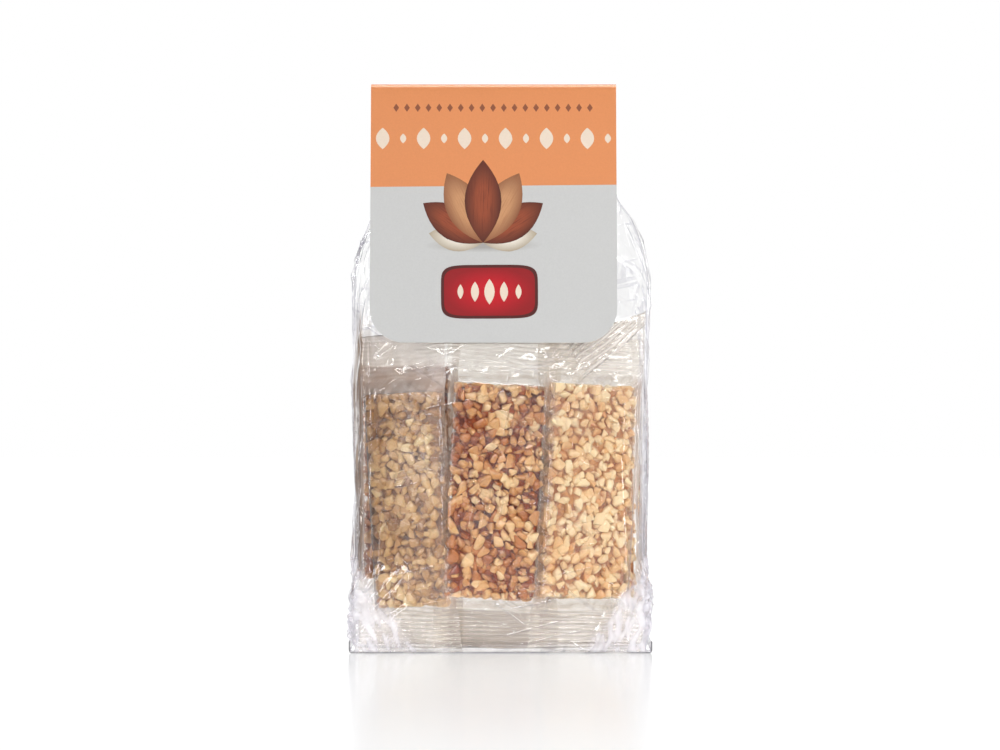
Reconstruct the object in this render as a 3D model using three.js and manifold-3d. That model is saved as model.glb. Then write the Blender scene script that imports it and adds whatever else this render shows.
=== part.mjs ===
// A clear stand-up bag of wrapped nut brittle bars, closed by a folded header card.
//
// Millimetres, +Z up, front towards -Y. The origin is the middle of the bag's flat base.
// The bag is one closed solid of its outer shape: a sharp-edged base with turned-up ends,
// a body whose faces are drawn in between the three bars behind them, side folds that
// stand out past the faces, and shoulders that taper to a flat tongue under the card.

import * as THREE from "three";
import { mergeVertices } from "three/addons/utils/BufferGeometryUtils.js";
import Module from "manifold-3d";

const wasm = await Module();
wasm.setup();

// ---- Driving dimensions ----

const BASE = { width: 120.4, depth: 50, thickness: 1, lipHeight: 4.8, lipThickness: 0.8 };

// The bag at a few heights: half its width over the side folds, half the width of its
// front and back faces, and half its depth.
const BAG_STATIONS = [
  { height: 0.4, side: 58.6, face: 57.6, depth: 24.2 },
  { height: 20, side: 58.6, face: 54.8, depth: 20.6 },
  { height: 60, side: 58.9, face: 54, depth: 18.4 },
  { height: 112, side: 59.4, face: 54.4, depth: 17.2 },
  { height: 146, side: 59.4, face: 53.6, depth: 12.2 },
  { height: 160, side: 57.4, face: 52, depth: 9.2 },
  { height: 172, side: 53.3, face: 49.4, depth: 6 },
  { height: 183, side: 47, face: 46.4, depth: 3 },
  { height: 198, side: 46, face: 45.8, depth: 1.1 },
  { height: 224, side: 46, face: 45.8, depth: 0.8 },
];
const FACE_EDGE_DROP = 0.1; // how far a face falls back at its creases, as a share of the depth
const SIDE_FOLD_SHARPNESS = 0.8; // below 1 the side folds are blunt, above 1 they are pointed

// The three bars behind each face, which the bag is drawn in between.
const BARS = { bottom: 21, top: 108, grooves: [-18.8, 19.8] };
const GROOVE = { depth: 2.4, halfWidth: 3.4, fade: 9 };

const CARD = {
  width: 98.8,
  left: -52.2,
  top: 227.6,
  bottom: 123.2,
  thickness: 0.5,
  foldRadius: 1.6,
  bottomHalfDepth: 18.4,
  bow: 1.15, // above 1 the panels leave the fold upright and lean out lower down
  cornerRadius: 14,
};

// Steps of the meshes.
const FACE_STEPS = 28;
const SIDE_STEPS = 6;
const BODY_STEP_HEIGHT = 5;
const PANEL_STEPS = 18;
const FOLD_STEPS = 8;
const CORNER_STEPS = 8;

// ---- Solids ----

/** A closed three.js geometry as a manifold solid. */
function solidOf(geometry) {
  const bare = geometry.clone();
  bare.deleteAttribute("normal");
  bare.deleteAttribute("uv");
  const merged = mergeVertices(bare, 1e-4);
  return new wasm.Manifold(
    new wasm.Mesh({
      numProp: 3,
      vertProperties: new Float32Array(merged.attributes.position.array),
      triVerts: new Uint32Array(merged.index.array),
    }),
  );
}

/** A manifold solid as a three.js geometry. */
function geometryOf(solid) {
  const mesh = solid.getMesh();
  const positions = new Float32Array(mesh.vertProperties);
  const geometry = new THREE.BufferGeometry();
  geometry.setAttribute("position", new THREE.BufferAttribute(positions, 3));
  geometry.setIndex(new THREE.BufferAttribute(new Uint32Array(mesh.triVerts), 1));
  geometry.computeVertexNormals();
  return geometry;
}

/** A box given by its size and the middle of its underside. */
function boxOn(width, depth, height, x, y, z) {
  return solidOf(new THREE.BoxGeometry(width, depth, height).translate(x, y, z + height / 2));
}

// ---- The bag ----

/** 0 below the first value, 1 above the second, smooth between. */
function smoothStep(from, to, value) {
  return THREE.MathUtils.smoothstep(value, from, to);
}

/** The slopes of a curve through the stations that doesn't overshoot between them. */
function stationSlopes(key) {
  const rises = BAG_STATIONS.slice(1).map((upper, i) => {
    const lower = BAG_STATIONS[i];
    return (upper[key] - lower[key]) / (upper.height - lower.height);
  });
  return BAG_STATIONS.map((_, i) => {
    const below = rises[Math.max(i - 1, 0)];
    const above = rises[Math.min(i, rises.length - 1)];
    return below * above <= 0 ? 0 : (2 * below * above) / (below + above);
  });
}

const SLOPES = {
  side: stationSlopes("side"),
  face: stationSlopes("face"),
  depth: stationSlopes("depth"),
};

/** One of the stations' measures at any height, on a smooth curve. */
function bagMeasure(key, height) {
  const found = BAG_STATIONS.findIndex((station) => station.height > height);
  const upperIndex = found < 0 ? BAG_STATIONS.length - 1 : Math.max(found, 1);
  const lower = BAG_STATIONS[upperIndex - 1];
  const upper = BAG_STATIONS[upperIndex];
  const span = upper.height - lower.height;
  const t = THREE.MathUtils.clamp((height - lower.height) / span, 0, 1);
  const rise = upper[key] - lower[key];
  const startSlope = SLOPES[key][upperIndex - 1] * span;
  const endSlope = SLOPES[key][upperIndex] * span;
  const square = 3 * rise - 2 * startSlope - endSlope;
  const cube = startSlope + endSlope - 2 * rise;
  return lower[key] + t * (startSlope + t * (square + t * cube));
}

/** How far the film is drawn in between the bars. */
function grooveDepth(x, height) {
  const { bottom, top, grooves } = BARS;
  const started = smoothStep(bottom - GROOVE.fade, bottom + GROOVE.fade, height);
  const ended = smoothStep(top - GROOVE.fade, top + GROOVE.fade, height);
  const across = grooves.map((at) => Math.exp(-(((x - at) / GROOVE.halfWidth) ** 2)));
  return GROOVE.depth * (started - ended) * Math.max(...across);
}

/** The outline of the bag at one height, anticlockwise from above, from the front left. */
function bagRing(height) {
  const side = bagMeasure("side", height);
  const face = bagMeasure("face", height);
  const depth = bagMeasure("depth", height);
  const faceDepth = (x) =>
    depth * (1 - FACE_EDGE_DROP * (x / face) ** 6) - grooveDepth(x, height);
  const cornerDepth = faceDepth(face);
  const points = [];
  for (let i = 0; i < FACE_STEPS; i++) {
    const x = face * ((2 * i) / FACE_STEPS - 1);
    points.push([x, -faceDepth(x)]);
  }
  for (let i = 0; i < SIDE_STEPS; i++) {
    const t = i / SIDE_STEPS;
    const out = (side - face) * Math.sin(Math.PI * t) ** SIDE_FOLD_SHARPNESS;
    points.push([face + out, cornerDepth * (2 * t - 1)]);
  }
  // The other half is the first one turned half round, with the grooves kept in place.
  for (let i = 0; i < FACE_STEPS; i++) {
    const x = face * (1 - (2 * i) / FACE_STEPS);
    points.push([x, faceDepth(x)]);
  }
  for (let i = 0; i < SIDE_STEPS; i++) {
    const t = i / SIDE_STEPS;
    const out = (side - face) * Math.sin(Math.PI * t) ** SIDE_FOLD_SHARPNESS;
    points.push([-face - out, cornerDepth * (1 - 2 * t)]);
  }
  return points;
}

/** The bag's body as a closed skin through its outlines. */
function bagBody() {
  const lowest = BAG_STATIONS[0].height;
  const highest = BAG_STATIONS[BAG_STATIONS.length - 1].height;
  const rows = Math.ceil((highest - lowest) / BODY_STEP_HEIGHT);
  const positions = [];
  for (let row = 0; row <= rows; row++) {
    const height = lowest + ((highest - lowest) * row) / rows;
    bagRing(height).forEach(([x, y]) => positions.push(x, y, height));
  }
  const columns = 2 * (FACE_STEPS + SIDE_STEPS);
  const indices = [];
  for (let row = 0; row < rows; row++) {
    for (let column = 0; column < columns; column++) {
      const here = row * columns + column;
      const next = row * columns + ((column + 1) % columns);
      indices.push(here, next, next + columns);
      indices.push(here, next + columns, here + columns);
    }
  }
  const bottomMiddle = positions.length / 3;
  positions.push(0, 0, lowest, 0, 0, highest);
  for (let column = 0; column < columns; column++) {
    const next = (column + 1) % columns;
    indices.push(bottomMiddle, next, column);
    indices.push(bottomMiddle + 1, rows * columns + column, rows * columns + next);
  }
  const geometry = new THREE.BufferGeometry();
  geometry.setAttribute("position", new THREE.Float32BufferAttribute(positions, 3));
  geometry.setIndex(indices);
  return solidOf(geometry);
}

/** The flat base with its sharp folded edge and the two turned-up ends. */
function bagBase() {
  const { width, depth, thickness, lipHeight, lipThickness } = BASE;
  const lipX = (width - lipThickness) / 2;
  return boxOn(width, depth, thickness, 0, 0, 0)
    .add(boxOn(lipThickness, depth, lipHeight, lipX, 0, 0))
    .add(boxOn(lipThickness, depth, lipHeight, -lipX, 0, 0));
}

// ---- The header card ----

/** Half the card's depth over its outer faces at a height below the fold. */
function cardHalfDepth(height) {
  const foldCentre = CARD.top - CARD.foldRadius;
  const down = (foldCentre - height) / (foldCentre - CARD.bottom);
  return CARD.foldRadius + (CARD.bottomHalfDepth - CARD.foldRadius) * down ** CARD.bow;
}

/** The card's section across its width: front panel, fold and back panel. */
function cardSection() {
  const foldCentre = CARD.top - CARD.foldRadius;
  const outline = (inset) => {
    const points = [];
    for (let i = 0; i < PANEL_STEPS; i++) {
      const height = CARD.bottom + ((foldCentre - CARD.bottom) * i) / PANEL_STEPS;
      points.push(new THREE.Vector2(-cardHalfDepth(height) + inset, height));
    }
    for (let i = 0; i <= FOLD_STEPS; i++) {
      const angle = Math.PI * (1 - i / FOLD_STEPS);
      const radius = CARD.foldRadius - inset;
      const y = radius * Math.cos(angle);
      points.push(new THREE.Vector2(y, foldCentre + radius * Math.sin(angle)));
    }
    for (let i = PANEL_STEPS - 1; i >= 0; i--) {
      const height = CARD.bottom + ((foldCentre - CARD.bottom) * i) / PANEL_STEPS;
      points.push(new THREE.Vector2(cardHalfDepth(height) - inset, height));
    }
    return points;
  };
  return new THREE.Shape([...outline(0), ...outline(CARD.thickness).reverse()]);
}

/** The card's outline from the front, with its lower corners rounded. */
function cardOutline() {
  const { left, width, top, bottom, cornerRadius: r } = CARD;
  const right = left + width;
  const shape = new THREE.Shape();
  shape.moveTo(left, top + r);
  shape.lineTo(left, bottom + r);
  shape.absarc(left + r, bottom + r, r, Math.PI, 1.5 * Math.PI, false);
  shape.absarc(right - r, bottom + r, r, 1.5 * Math.PI, 2 * Math.PI, false);
  shape.lineTo(right, top + r);
  return shape;
}

/** The folded card: its section drawn out across the width, cut to the front outline. */
function headerCard() {
  const toRight = new THREE.Matrix4().makeBasis(
    new THREE.Vector3(0, 1, 0),
    new THREE.Vector3(0, 0, 1),
    new THREE.Vector3(1, 0, 0),
  );
  const bent = new THREE.ExtrudeGeometry(cardSection(), {
    depth: CARD.width,
    bevelEnabled: false,
  });
  bent.applyMatrix4(toRight).translate(CARD.left, 0, 0);
  const toFront = new THREE.Matrix4().makeRotationX(Math.PI / 2);
  const cutterDepth = 4 * CARD.bottomHalfDepth;
  const cutter = new THREE.ExtrudeGeometry(cardOutline(), {
    depth: cutterDepth,
    bevelEnabled: false,
    curveSegments: CORNER_STEPS,
  });
  cutter.applyMatrix4(toFront).translate(0, cutterDepth / 2, 0);
  return solidOf(bent).intersect(solidOf(cutter));
}

// ---- The object ----

/** A named mesh of a solid. */
function piece(name, solid, material) {
  const mesh = new THREE.Mesh(geometryOf(solid), material);
  mesh.name = name;
  return mesh;
}

const clearFilm = new THREE.MeshStandardMaterial({
  color: "#d9bd9c", // the pale brittle seen through clear film
  roughness: 0.25,
  metalness: 0,
  transparent: true,
  opacity: 0.85,
});
const printedCard = new THREE.MeshStandardMaterial({
  color: "#d98f5f", // the card's orange band
  roughness: 0.55,
  metalness: 0,
});

const pack = new THREE.Group();
pack.name = "nut_brittle_bag";
pack.add(piece("bag", bagBody().add(bagBase()), clearFilm));
pack.add(piece("header_card", headerCard(), printedCard));

export default pack;
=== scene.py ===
"""A clear stand-up bag of wrapped nut brittle bars under a folded header card.

Shapes are worked out in millimetres, front towards -Y and +Z up, with the origin in the
middle of the bag's flat base, and are turned to metres when a mesh is made.
"""

import logging
import math
from collections.abc import Iterable, Mapping
from dataclasses import dataclass, replace
from enum import Enum

import bmesh
import bpy
import numpy as np
from bpy.types import Material, Node, NodeSocket, NodeTree, Object, World
from mathutils.geometry import delaunay_2d_cdt
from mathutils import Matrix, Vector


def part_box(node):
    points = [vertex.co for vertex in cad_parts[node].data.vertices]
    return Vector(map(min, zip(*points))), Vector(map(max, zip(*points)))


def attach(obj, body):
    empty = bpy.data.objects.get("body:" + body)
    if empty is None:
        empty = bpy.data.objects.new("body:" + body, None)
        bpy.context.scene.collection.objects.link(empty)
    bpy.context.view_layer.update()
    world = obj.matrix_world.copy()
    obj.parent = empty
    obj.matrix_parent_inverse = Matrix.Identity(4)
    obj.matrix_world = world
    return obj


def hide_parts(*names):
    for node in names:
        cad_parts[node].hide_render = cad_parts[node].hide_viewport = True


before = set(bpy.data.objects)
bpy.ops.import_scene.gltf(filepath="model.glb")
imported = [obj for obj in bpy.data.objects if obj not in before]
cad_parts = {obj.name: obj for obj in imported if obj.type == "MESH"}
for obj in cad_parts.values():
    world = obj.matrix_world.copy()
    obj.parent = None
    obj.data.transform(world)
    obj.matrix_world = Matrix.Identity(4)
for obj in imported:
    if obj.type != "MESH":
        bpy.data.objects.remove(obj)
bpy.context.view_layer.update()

LOG = logging.getLogger("nut_brittle_bag")
MM = 0.001
BODY = "root"


# ---- Colours and nodes ----


def linear(hex_colour: str) -> tuple[float, float, float, float]:
    """Turns an sRGB hex colour into linear light.

    Args:
        hex_colour: the colour, such as "#d98f5f".

    Returns:
        Red, green, blue and an alpha of 1.
    """
    shares = [int(hex_colour[i : i + 2], 16) / 255 for i in (1, 3, 5)]
    return (*(s / 12.92 if s <= 0.04045 else ((s + 0.055) / 1.055) ** 2.4 for s in shares), 1.0)


def per_metre(size_mm: float) -> float:
    """Gives the texture scale at which one repeat of a pattern is size_mm long."""
    return 1 / (size_mm * MM)


def add_node(
    tree: NodeTree,
    kind: str,
    settings: Mapping[str | int, object] | None = None,
    links: Mapping[str | int, Node | NodeSocket] | None = None,
) -> Node:
    """Adds a node, sets it up and links what feeds it.

    Args:
        tree: the node tree that takes the node.
        kind: the node's type after "ShaderNode".
        settings: values by socket name or number, or by property name. "stops" holds a
            colour ramp's places and colours.
        links: what feeds each input, by socket name or number: an output, or a node, which
            feeds it by the first output that it has in use.

    Returns:
        The new node.
    """
    node = tree.nodes.new("ShaderNode" + kind)
    for name, value in (settings or {}).items():
        if name == "stops":
            elements = node.color_ramp.elements
            while len(elements) < len(value):
                elements.new(1.0)
            for element, (position, colour) in zip(elements, value):
                element.position = position
                element.color = colour
        elif isinstance(name, int) or name in node.inputs:
            node.inputs[name].default_value = value
        else:
            setattr(node, name, value)
    for name, feed in (links or {}).items():
        if isinstance(feed, Node):
            feed = next(output for output in feed.outputs if output.enabled)
        tree.links.new(feed, node.inputs[name])
    return node


@dataclass(frozen=True)
class Finish:
    """What every finish shares: its name, and one material that is made on first use."""

    name: str

    def material(self) -> Material:
        """Gives the finish's material.

        Returns:
            The material, made the first time it is asked for.
        """
        made = bpy.data.materials.get(self.name)
        if made is None:
            made = bpy.data.materials.new(self.name)
            made.use_nodes = True
            made.node_tree.nodes.clear()
            surface = self.shader(made.node_tree)
            add_node(made.node_tree, "OutputMaterial", links={"Surface": surface})
        return made

    def shader(self, tree: NodeTree) -> Node:
        """Builds the finish's nodes.

        Args:
            tree: the material's empty node tree.

        Returns:
            The shader that the surface shows.
        """
        raise NotImplementedError


# ---- Finishes ----


@dataclass(frozen=True)
class ClearFilm(Finish):
    """Oriented polypropylene film, cast clear, drawn both ways and folded by machine.

    To the eye it is almost nothing face on, a mirror at every crinkle, a fine grey line
    along each sharp fold, and a lavender grey where it is seen edge on. That grey is
    painted reflection: what passes through is tinted grey along folds and aslant, standing
    in for the darker room that a real film mirrors and bends there. One skin stands for
    the film's two faces, so it mirrors twice what one face of an IOR of 1.5 does.
    """

    face_mirror: float = 0.045  # a sheet's share of mirrored light, face on
    mirror_rise: float = 4.2  # how late the mirror grows towards the edge
    passes: str = "#fefefe"
    edge_passes: str = "#9d99ae"
    edge_start: float = 0.5  # from here on a sheet is seen so far aslant that painted reflection greys it
    seal_passes: str = "#fcfbfa"
    haze: float = 0.007
    seal_haze: float = 0.24  # more of it where two plies are sealed together, and on crimp ridges, where it is partly painted highlight
    haze_colour: str = "#f7f2ec"
    painted_amber_haze: float = 0.32  # and painted amber light where the film gathers beside a bar or lies over the bars behind, standing in for light the bars scatter into it
    # the colour of the painted amber light, that of the bars
    painted_amber_colour: str = "#d6a272"
    shade_passes: str = "#a4907f"  # painted shade: what passes where the film is shaded, partly light lost in folds that aren't built, partly the shade inside the bag
    haze_patch_mm: float = 18.0
    roughness: float = 0.04
    crumple_mm: float = 12.0
    crumple_depth_mm: float = 0.9
    upright_stretch: float = 0.65  # crumples are longer up the film than across it
    streak_angles: tuple[float, ...] = (12.0, -34.0, 78.0)  # degrees from level
    streak_mm: tuple[float, float] = (20.0, 1.1)  # how long and wide a streak is
    streak_share: float = 0.08  # of the film, in a creased patch
    streak_depth_mm: float = 0.16
    # painted reflection: how much grey a fold line puts into what passes through
    streak_grey: float = 0.22
    seed_mm: float = 0.0  # moves the pattern, so that two films differ

    def shader(self, tree: NodeTree) -> Node:
        """Builds the film's nodes.

        Args:
            tree: the material's empty node tree.

        Returns:
            The film: clear, mirroring and veiled in shares.
        """
        on_film = add_node(tree, "TexCoord").outputs["Object"]
        moved, stretch = (self.seed_mm * MM, 0.0, 0.0), (1.0, 1.0, self.upright_stretch)
        place = add_node(tree, "Mapping", {"Location": moved, "Scale": stretch}, {"Vector": on_film})
        crumple, patch = (
            add_node(tree, "TexNoise", {"Scale": per_metre(size), "Detail": detail}, {"Vector": place})
            for size, detail in ((self.crumple_mm, 2.5), (self.haze_patch_mm, 1.0))
        )
        streak = self.streaks(tree, on_film, patch)
        raised = add_node(tree, "Math", {"operation": "MULTIPLY", 1: self.streak_depth_mm}, {0: streak})
        height = add_node(
            tree, "Math", {"operation": "MULTIPLY_ADD", 1: self.crumple_depth_mm}, {0: crumple, 2: raised}
        )
        bump = add_node(tree, "Bump", {"Distance": MM}, {"Height": height})
        sealed, bunched, shaded = (
            add_node(tree, "Attribute", {"attribute_name": name}).outputs["Fac"]
            for name in ("sealed", "bunched", "shaded")
        )
        facing = add_node(tree, "LayerWeight", {"Blend": 0.5}, {"Normal": bump}).outputs["Facing"]
        clear = self.clear_part(tree, bump, facing, streak, (sealed, shaded))
        patched = add_node(
            tree, "MapRange",
            {"From Min": 0.45, "From Max": 0.7, "To Min": 0.5 * self.haze, "To Max": 4 * self.haze},
            {"Value": patch},
        )
        veiled = patched
        for where, haze in ((sealed, self.seal_haze), (bunched, self.painted_amber_haze)):
            veiled = add_node(tree, "Math", {"operation": "MULTIPLY_ADD", 1: haze}, {0: where, 2: veiled})
        # Painted amber light: the veil takes the bars' colour where the film lies beside or over them.
        veil_colour = add_node(
            tree, "Mix",
            {"data_type": "RGBA", 6: linear(self.haze_colour), 7: linear(self.painted_amber_colour)},
            {0: bunched},
        )
        veil = add_node(tree, "BsdfDiffuse", links={"Color": veil_colour, "Normal": bump})
        return add_node(tree, "MixShader", links={0: veiled, 1: clear, 2: veil})

    def clear_part(
        self,
        tree: NodeTree,
        bump: Node,
        facing: NodeSocket,
        streak: Node,
        dimming: tuple[NodeSocket, NodeSocket],
    ) -> Node:
        """Builds what passes through the film and what it mirrors.

        Args:
            tree: the material's node tree.
            bump: the crinkled normal.
            facing: how far aslant the film is seen, from 0 to 1.
            streak: how strongly a fold shows.
            dimming: how far the film is sealed, and how far painted shade darkens it.

        Returns:
            The film without its veil.
        """
        rise = add_node(tree, "Math", {"operation": "POWER", 1: self.mirror_rise}, {0: facing})
        least = self.face_mirror
        mirrored = add_node(tree, "Math", {"operation": "MULTIPLY_ADD", 1: 1 - least, 2: least}, {0: rise})
        # Painted reflection: what passes is greyed aslant and along folds, for the darker room a real film
        # mirrors there.
        aslant = add_node(tree, "MapRange", {"From Min": self.edge_start}, {"Value": facing})
        greyed = add_node(
            tree, "Math",
            {"operation": "MULTIPLY_ADD", 1: self.streak_grey, "use_clamp": True},
            {0: streak, 2: aslant},
        )
        tint = add_node(
            tree, "Mix",
            {"data_type": "RGBA", 6: linear(self.passes), 7: linear(self.edge_passes)},
            {0: greyed},
        )
        # Sealed plies pass a little less; painted shade dims what passes where the film is shaded.
        for where, colour in zip(dimming, (self.seal_passes, self.shade_passes)):
            tint = add_node(
                tree, "Mix",
                {"data_type": "RGBA", "blend_type": "MULTIPLY", 7: linear(colour)},
                {0: where, 6: tint},
            )
        through = add_node(tree, "BsdfTransparent", links={"Color": tint})
        mirror = add_node(tree, "BsdfGlossy", {"Roughness": self.roughness}, {"Normal": bump})
        return add_node(tree, "MixShader", links={0: mirrored, 1: through, 2: mirror})

    def streaks(self, tree: NodeTree, on_film: NodeSocket, patch: Node) -> Node:
        """Strews short straight folds over the film, in a few directions.

        Args:
            tree: the material's node tree.
            on_film: the place on the film.
            patch: noise that picks where the film is creased.

        Returns:
            How strongly a fold shows, from 0 to 1.
        """
        length, width = self.streak_mm
        apart_mm = 91  # from one direction's pattern to the next, so that they differ
        total = None
        for i, angle in enumerate(self.streak_angles):
            moved = ((self.seed_mm + apart_mm * i) * MM, 0.0, 0.0)
            turned = add_node(
                tree, "Mapping",
                {"Location": moved, "Rotation": (0.0, math.radians(angle), 0.0)},
                {"Vector": on_film},
            )
            drawn = add_node(tree, "Mapping", {"Scale": (width / length, 0.3, 1.0)}, {"Vector": turned})
            grain = add_node(
                tree, "TexNoise", {"Scale": per_metre(2 * width), "Detail": 1.0}, {"Vector": drawn}
            )
            line = add_node(
                tree, "MapRange",
                {"From Min": 0.7 - self.streak_share, "From Max": 0.78 - self.streak_share},
                {"Value": grain},
            )
            if total is not None:
                line = add_node(tree, "Math", {"operation": "MAXIMUM"}, {0: line, 1: total})
            total = line
        creased = add_node(tree, "MapRange", {"From Min": 0.4, "From Max": 0.6}, {"Value": patch})
        return add_node(tree, "Math", {"operation": "MULTIPLY"}, {0: total, 1: creased})


@dataclass(frozen=True)
class ChoppedAlmond(Finish):
    """Chopped, blanched and toasted almond under a thin glaze of cooked sugar.

    To the eye: cream to toasted tan pieces, each with a small sharp highlight, stained
    amber where they sink into the caramel.
    """

    shades: tuple[str, ...] = ("#fbe2b4", "#f3c98f", "#de9f5a", "#b86e30")
    stain: str = "#c07a3a"  # the caramel over a sunk piece
    stained_from: float = 0.45  # how deep a piece starts to be stained, from 0 to about 1.2
    stained_to: float = 1.1
    grain_mm: float = 0.9  # the nut's own fine mottling
    blotch_mm: float = 3.2
    roughness: float = 0.42
    glaze: float = 0.45
    glaze_roughness: float = 0.14

    def shader(self, tree: NodeTree) -> Node:
        """Builds the nut's nodes.

        Args:
            tree: the material's empty node tree.

        Returns:
            The glazed nut.
        """
        place = add_node(tree, "TexCoord").outputs["Object"]
        tone, sunk = (
            add_node(tree, "Attribute", {"attribute_name": name}).outputs["Fac"]
            for name in ("tone", "sunk")
        )
        mottle, blotch = (
            add_node(tree, "TexNoise", {"Scale": per_metre(size), "Detail": detail}, {"Vector": place})
            for size, detail in ((self.grain_mm, 3.0), (self.blotch_mm, 2.0))
        )
        toned = add_node(tree, "Math", {"operation": "MULTIPLY_ADD", 1: 0.22}, {0: mottle, 2: tone})
        last = len(self.shades) - 1
        stops = [(0.1 + 0.9 * i / last, linear(shade)) for i, shade in enumerate(self.shades)]
        nut = add_node(tree, "ValToRGB", {"stops": stops}, {"Fac": toned})
        wet = add_node(tree, "Math", {"operation": "MULTIPLY_ADD", 1: 0.5}, {0: blotch, 2: sunk})
        stained = add_node(
            tree, "MapRange", {"From Min": self.stained_from, "From Max": self.stained_to}, {"Value": wet}
        )
        colour = add_node(
            tree, "Mix", {"data_type": "RGBA", 7: linear(self.stain)}, {0: stained, 6: nut}
        )
        bump = add_node(tree, "Bump", {"Distance": 0.12 * MM}, {"Height": mottle})
        return add_node(
            tree, "BsdfPrincipled",
            {
                "Roughness": self.roughness,
                "IOR": 1.47,
                "Subsurface Weight": 0.08,
                "Subsurface Radius": (1.0, 0.6, 0.35),
                "Subsurface Scale": 1.6 * MM,
                "Coat Weight": self.glaze,
                "Coat Roughness": self.glaze_roughness,
            },
            {"Base Color": colour, "Normal": bump},
        )


@dataclass(frozen=True)
class HardCaramel(Finish):
    """Cooked sugar, poured hot over the nuts and set hard between them.

    To the eye: a wet-looking deep amber in the gaps, lighter where it is thin.
    """

    thin: str = "#d89c5c"
    thick: str = "#a9632a"
    blotch_mm: float = 4.0
    roughness: float = 0.16

    def shader(self, tree: NodeTree) -> Node:
        """Builds the caramel's nodes.

        Args:
            tree: the material's empty node tree.

        Returns:
            The glossy caramel.
        """
        place = add_node(tree, "TexCoord").outputs["Object"]
        blotch = add_node(
            tree, "TexNoise", {"Scale": per_metre(self.blotch_mm), "Detail": 3.0}, {"Vector": place}
        )
        stops = [(0.35, linear(self.thick)), (0.65, linear(self.thin))]
        colour = add_node(tree, "ValToRGB", {"stops": stops}, {"Fac": blotch})
        return add_node(
            tree, "BsdfPrincipled",
            {"Roughness": self.roughness, "IOR": 1.5, "Coat Weight": 0.3, "Coat Roughness": 0.08},
            {"Base Color": colour},
        )


@dataclass(frozen=True)
class PrintedCard(Finish):
    """Offset ink on coated folding carton, under a satin varnish.

    To the eye: even colour with a soft sheen, a trace of fibre in the surface, and in a
    motif a shade that deepens to its rim with fine strokes along it.
    """

    ink: str = "#cccccc"
    rim: str | None = None  # the motif's colour at its outline, the same as the ink if None
    strokes: float = 0.0  # how strongly strokes show along a motif
    stroke_colour: str = "#5f2411"
    stroke_counts: tuple[float, float] = (1.4, 13.0)  # along and across half a motif
    fibre_mm: float = 0.7  # coarser than real fibres, so that they show
    roughness: float = 0.3

    def shader(self, tree: NodeTree) -> Node:
        """Builds the ink's nodes.

        Args:
            tree: the material's empty node tree.

        Returns:
            The varnished ink.
        """
        place = add_node(tree, "TexCoord").outputs["Object"]
        motif = add_node(tree, "UVMap", {"uv_map": HeaderCard.MOTIF_MAP})
        fibre = add_node(
            tree, "TexNoise", {"Scale": per_metre(self.fibre_mm), "Detail": 2.0}, {"Vector": place}
        )
        out = add_node(tree, "VectorMath", {"operation": "LENGTH"}, {0: motif})
        stops = [(0.35, linear(self.ink)), (1.0, linear(self.rim or self.ink))]
        shade = add_node(tree, "ValToRGB", {"stops": stops}, {"Fac": out})
        along = add_node(tree, "Mapping", {"Scale": (*self.stroke_counts, 1.0)}, {"Vector": motif})
        stroke = add_node(tree, "TexNoise", {"Scale": 1.0, "Detail": 3.0}, {"Vector": along})
        stroked = add_node(
            tree, "MapRange", {"From Min": 0.5, "From Max": 0.64, "To Max": self.strokes}, {"Value": stroke}
        )
        inked = add_node(
            tree, "Mix", {"data_type": "RGBA", 7: linear(self.stroke_colour)}, {0: stroked, 6: shade}
        )
        toned = add_node(
            tree, "MapRange",
            {"From Min": 0.3, "From Max": 0.7, "To Min": 0.975, "To Max": 1.02},
            {"Value": fibre},
        )
        colour = add_node(tree, "VectorMath", {"operation": "SCALE"}, {0: inked, "Scale": toned})
        bump = add_node(tree, "Bump", {"Distance": 0.02 * MM}, {"Height": fibre})
        return add_node(
            tree, "BsdfPrincipled",
            {"Roughness": self.roughness, "IOR": 1.5},
            {"Base Color": colour, "Normal": bump},
        )


@dataclass(frozen=True)
class WhiteAcrylic(Finish):
    """Cast white acrylic sheet, polished and lit from below, as a product table is.

    To the eye: plain white, with a faint soft mirror image of what stands on it.
    """

    white: float = 1.02  # its brightness, glow and mirrored room together
    spill: float = 0.3  # the share of its glow that lights what stands on it
    mirror: tuple[float, float] = (0.5, 0.1)  # close to the pack and far from it
    fades_mm: tuple[float, float] = (30.0, 380.0)
    roughness: float = 0.16

    def shader(self, tree: NodeTree) -> Node:
        """Builds the table's nodes.

        Args:
            tree: the material's empty node tree.

        Returns:
            The glowing, mirroring sheet.
        """
        place = add_node(tree, "TexCoord").outputs["Object"]
        away = add_node(tree, "VectorMath", {"operation": "LENGTH"}, {0: place})
        near, far = (distance * MM for distance in self.fades_mm)
        mirror = add_node(
            tree, "MapRange",
            {"From Min": near, "From Max": far, "To Min": self.mirror[0], "To Max": self.mirror[1]},
            {"Value": away},
        )
        glowing = add_node(tree, "Math", {"operation": "SUBTRACT", 0: self.white}, {1: mirror})
        left = add_node(tree, "Math", {"operation": "SUBTRACT", 0: 1.0}, {1: mirror})
        full = add_node(tree, "Math", {"operation": "DIVIDE"}, {0: glowing, 1: left})
        spilt = add_node(tree, "LightPath").outputs["Is Diffuse Ray"]
        dimmed = add_node(tree, "Math", {"operation": "MULTIPLY", 1: self.spill}, {0: full})
        sent = add_node(tree, "Mix", links={0: spilt, 2: full, 3: dimmed})
        glow = add_node(tree, "Emission", links={"Strength": sent})
        gloss = add_node(tree, "BsdfGlossy", {"Roughness": self.roughness})
        return add_node(tree, "MixShader", links={0: mirror, 1: glow, 2: gloss})


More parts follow.
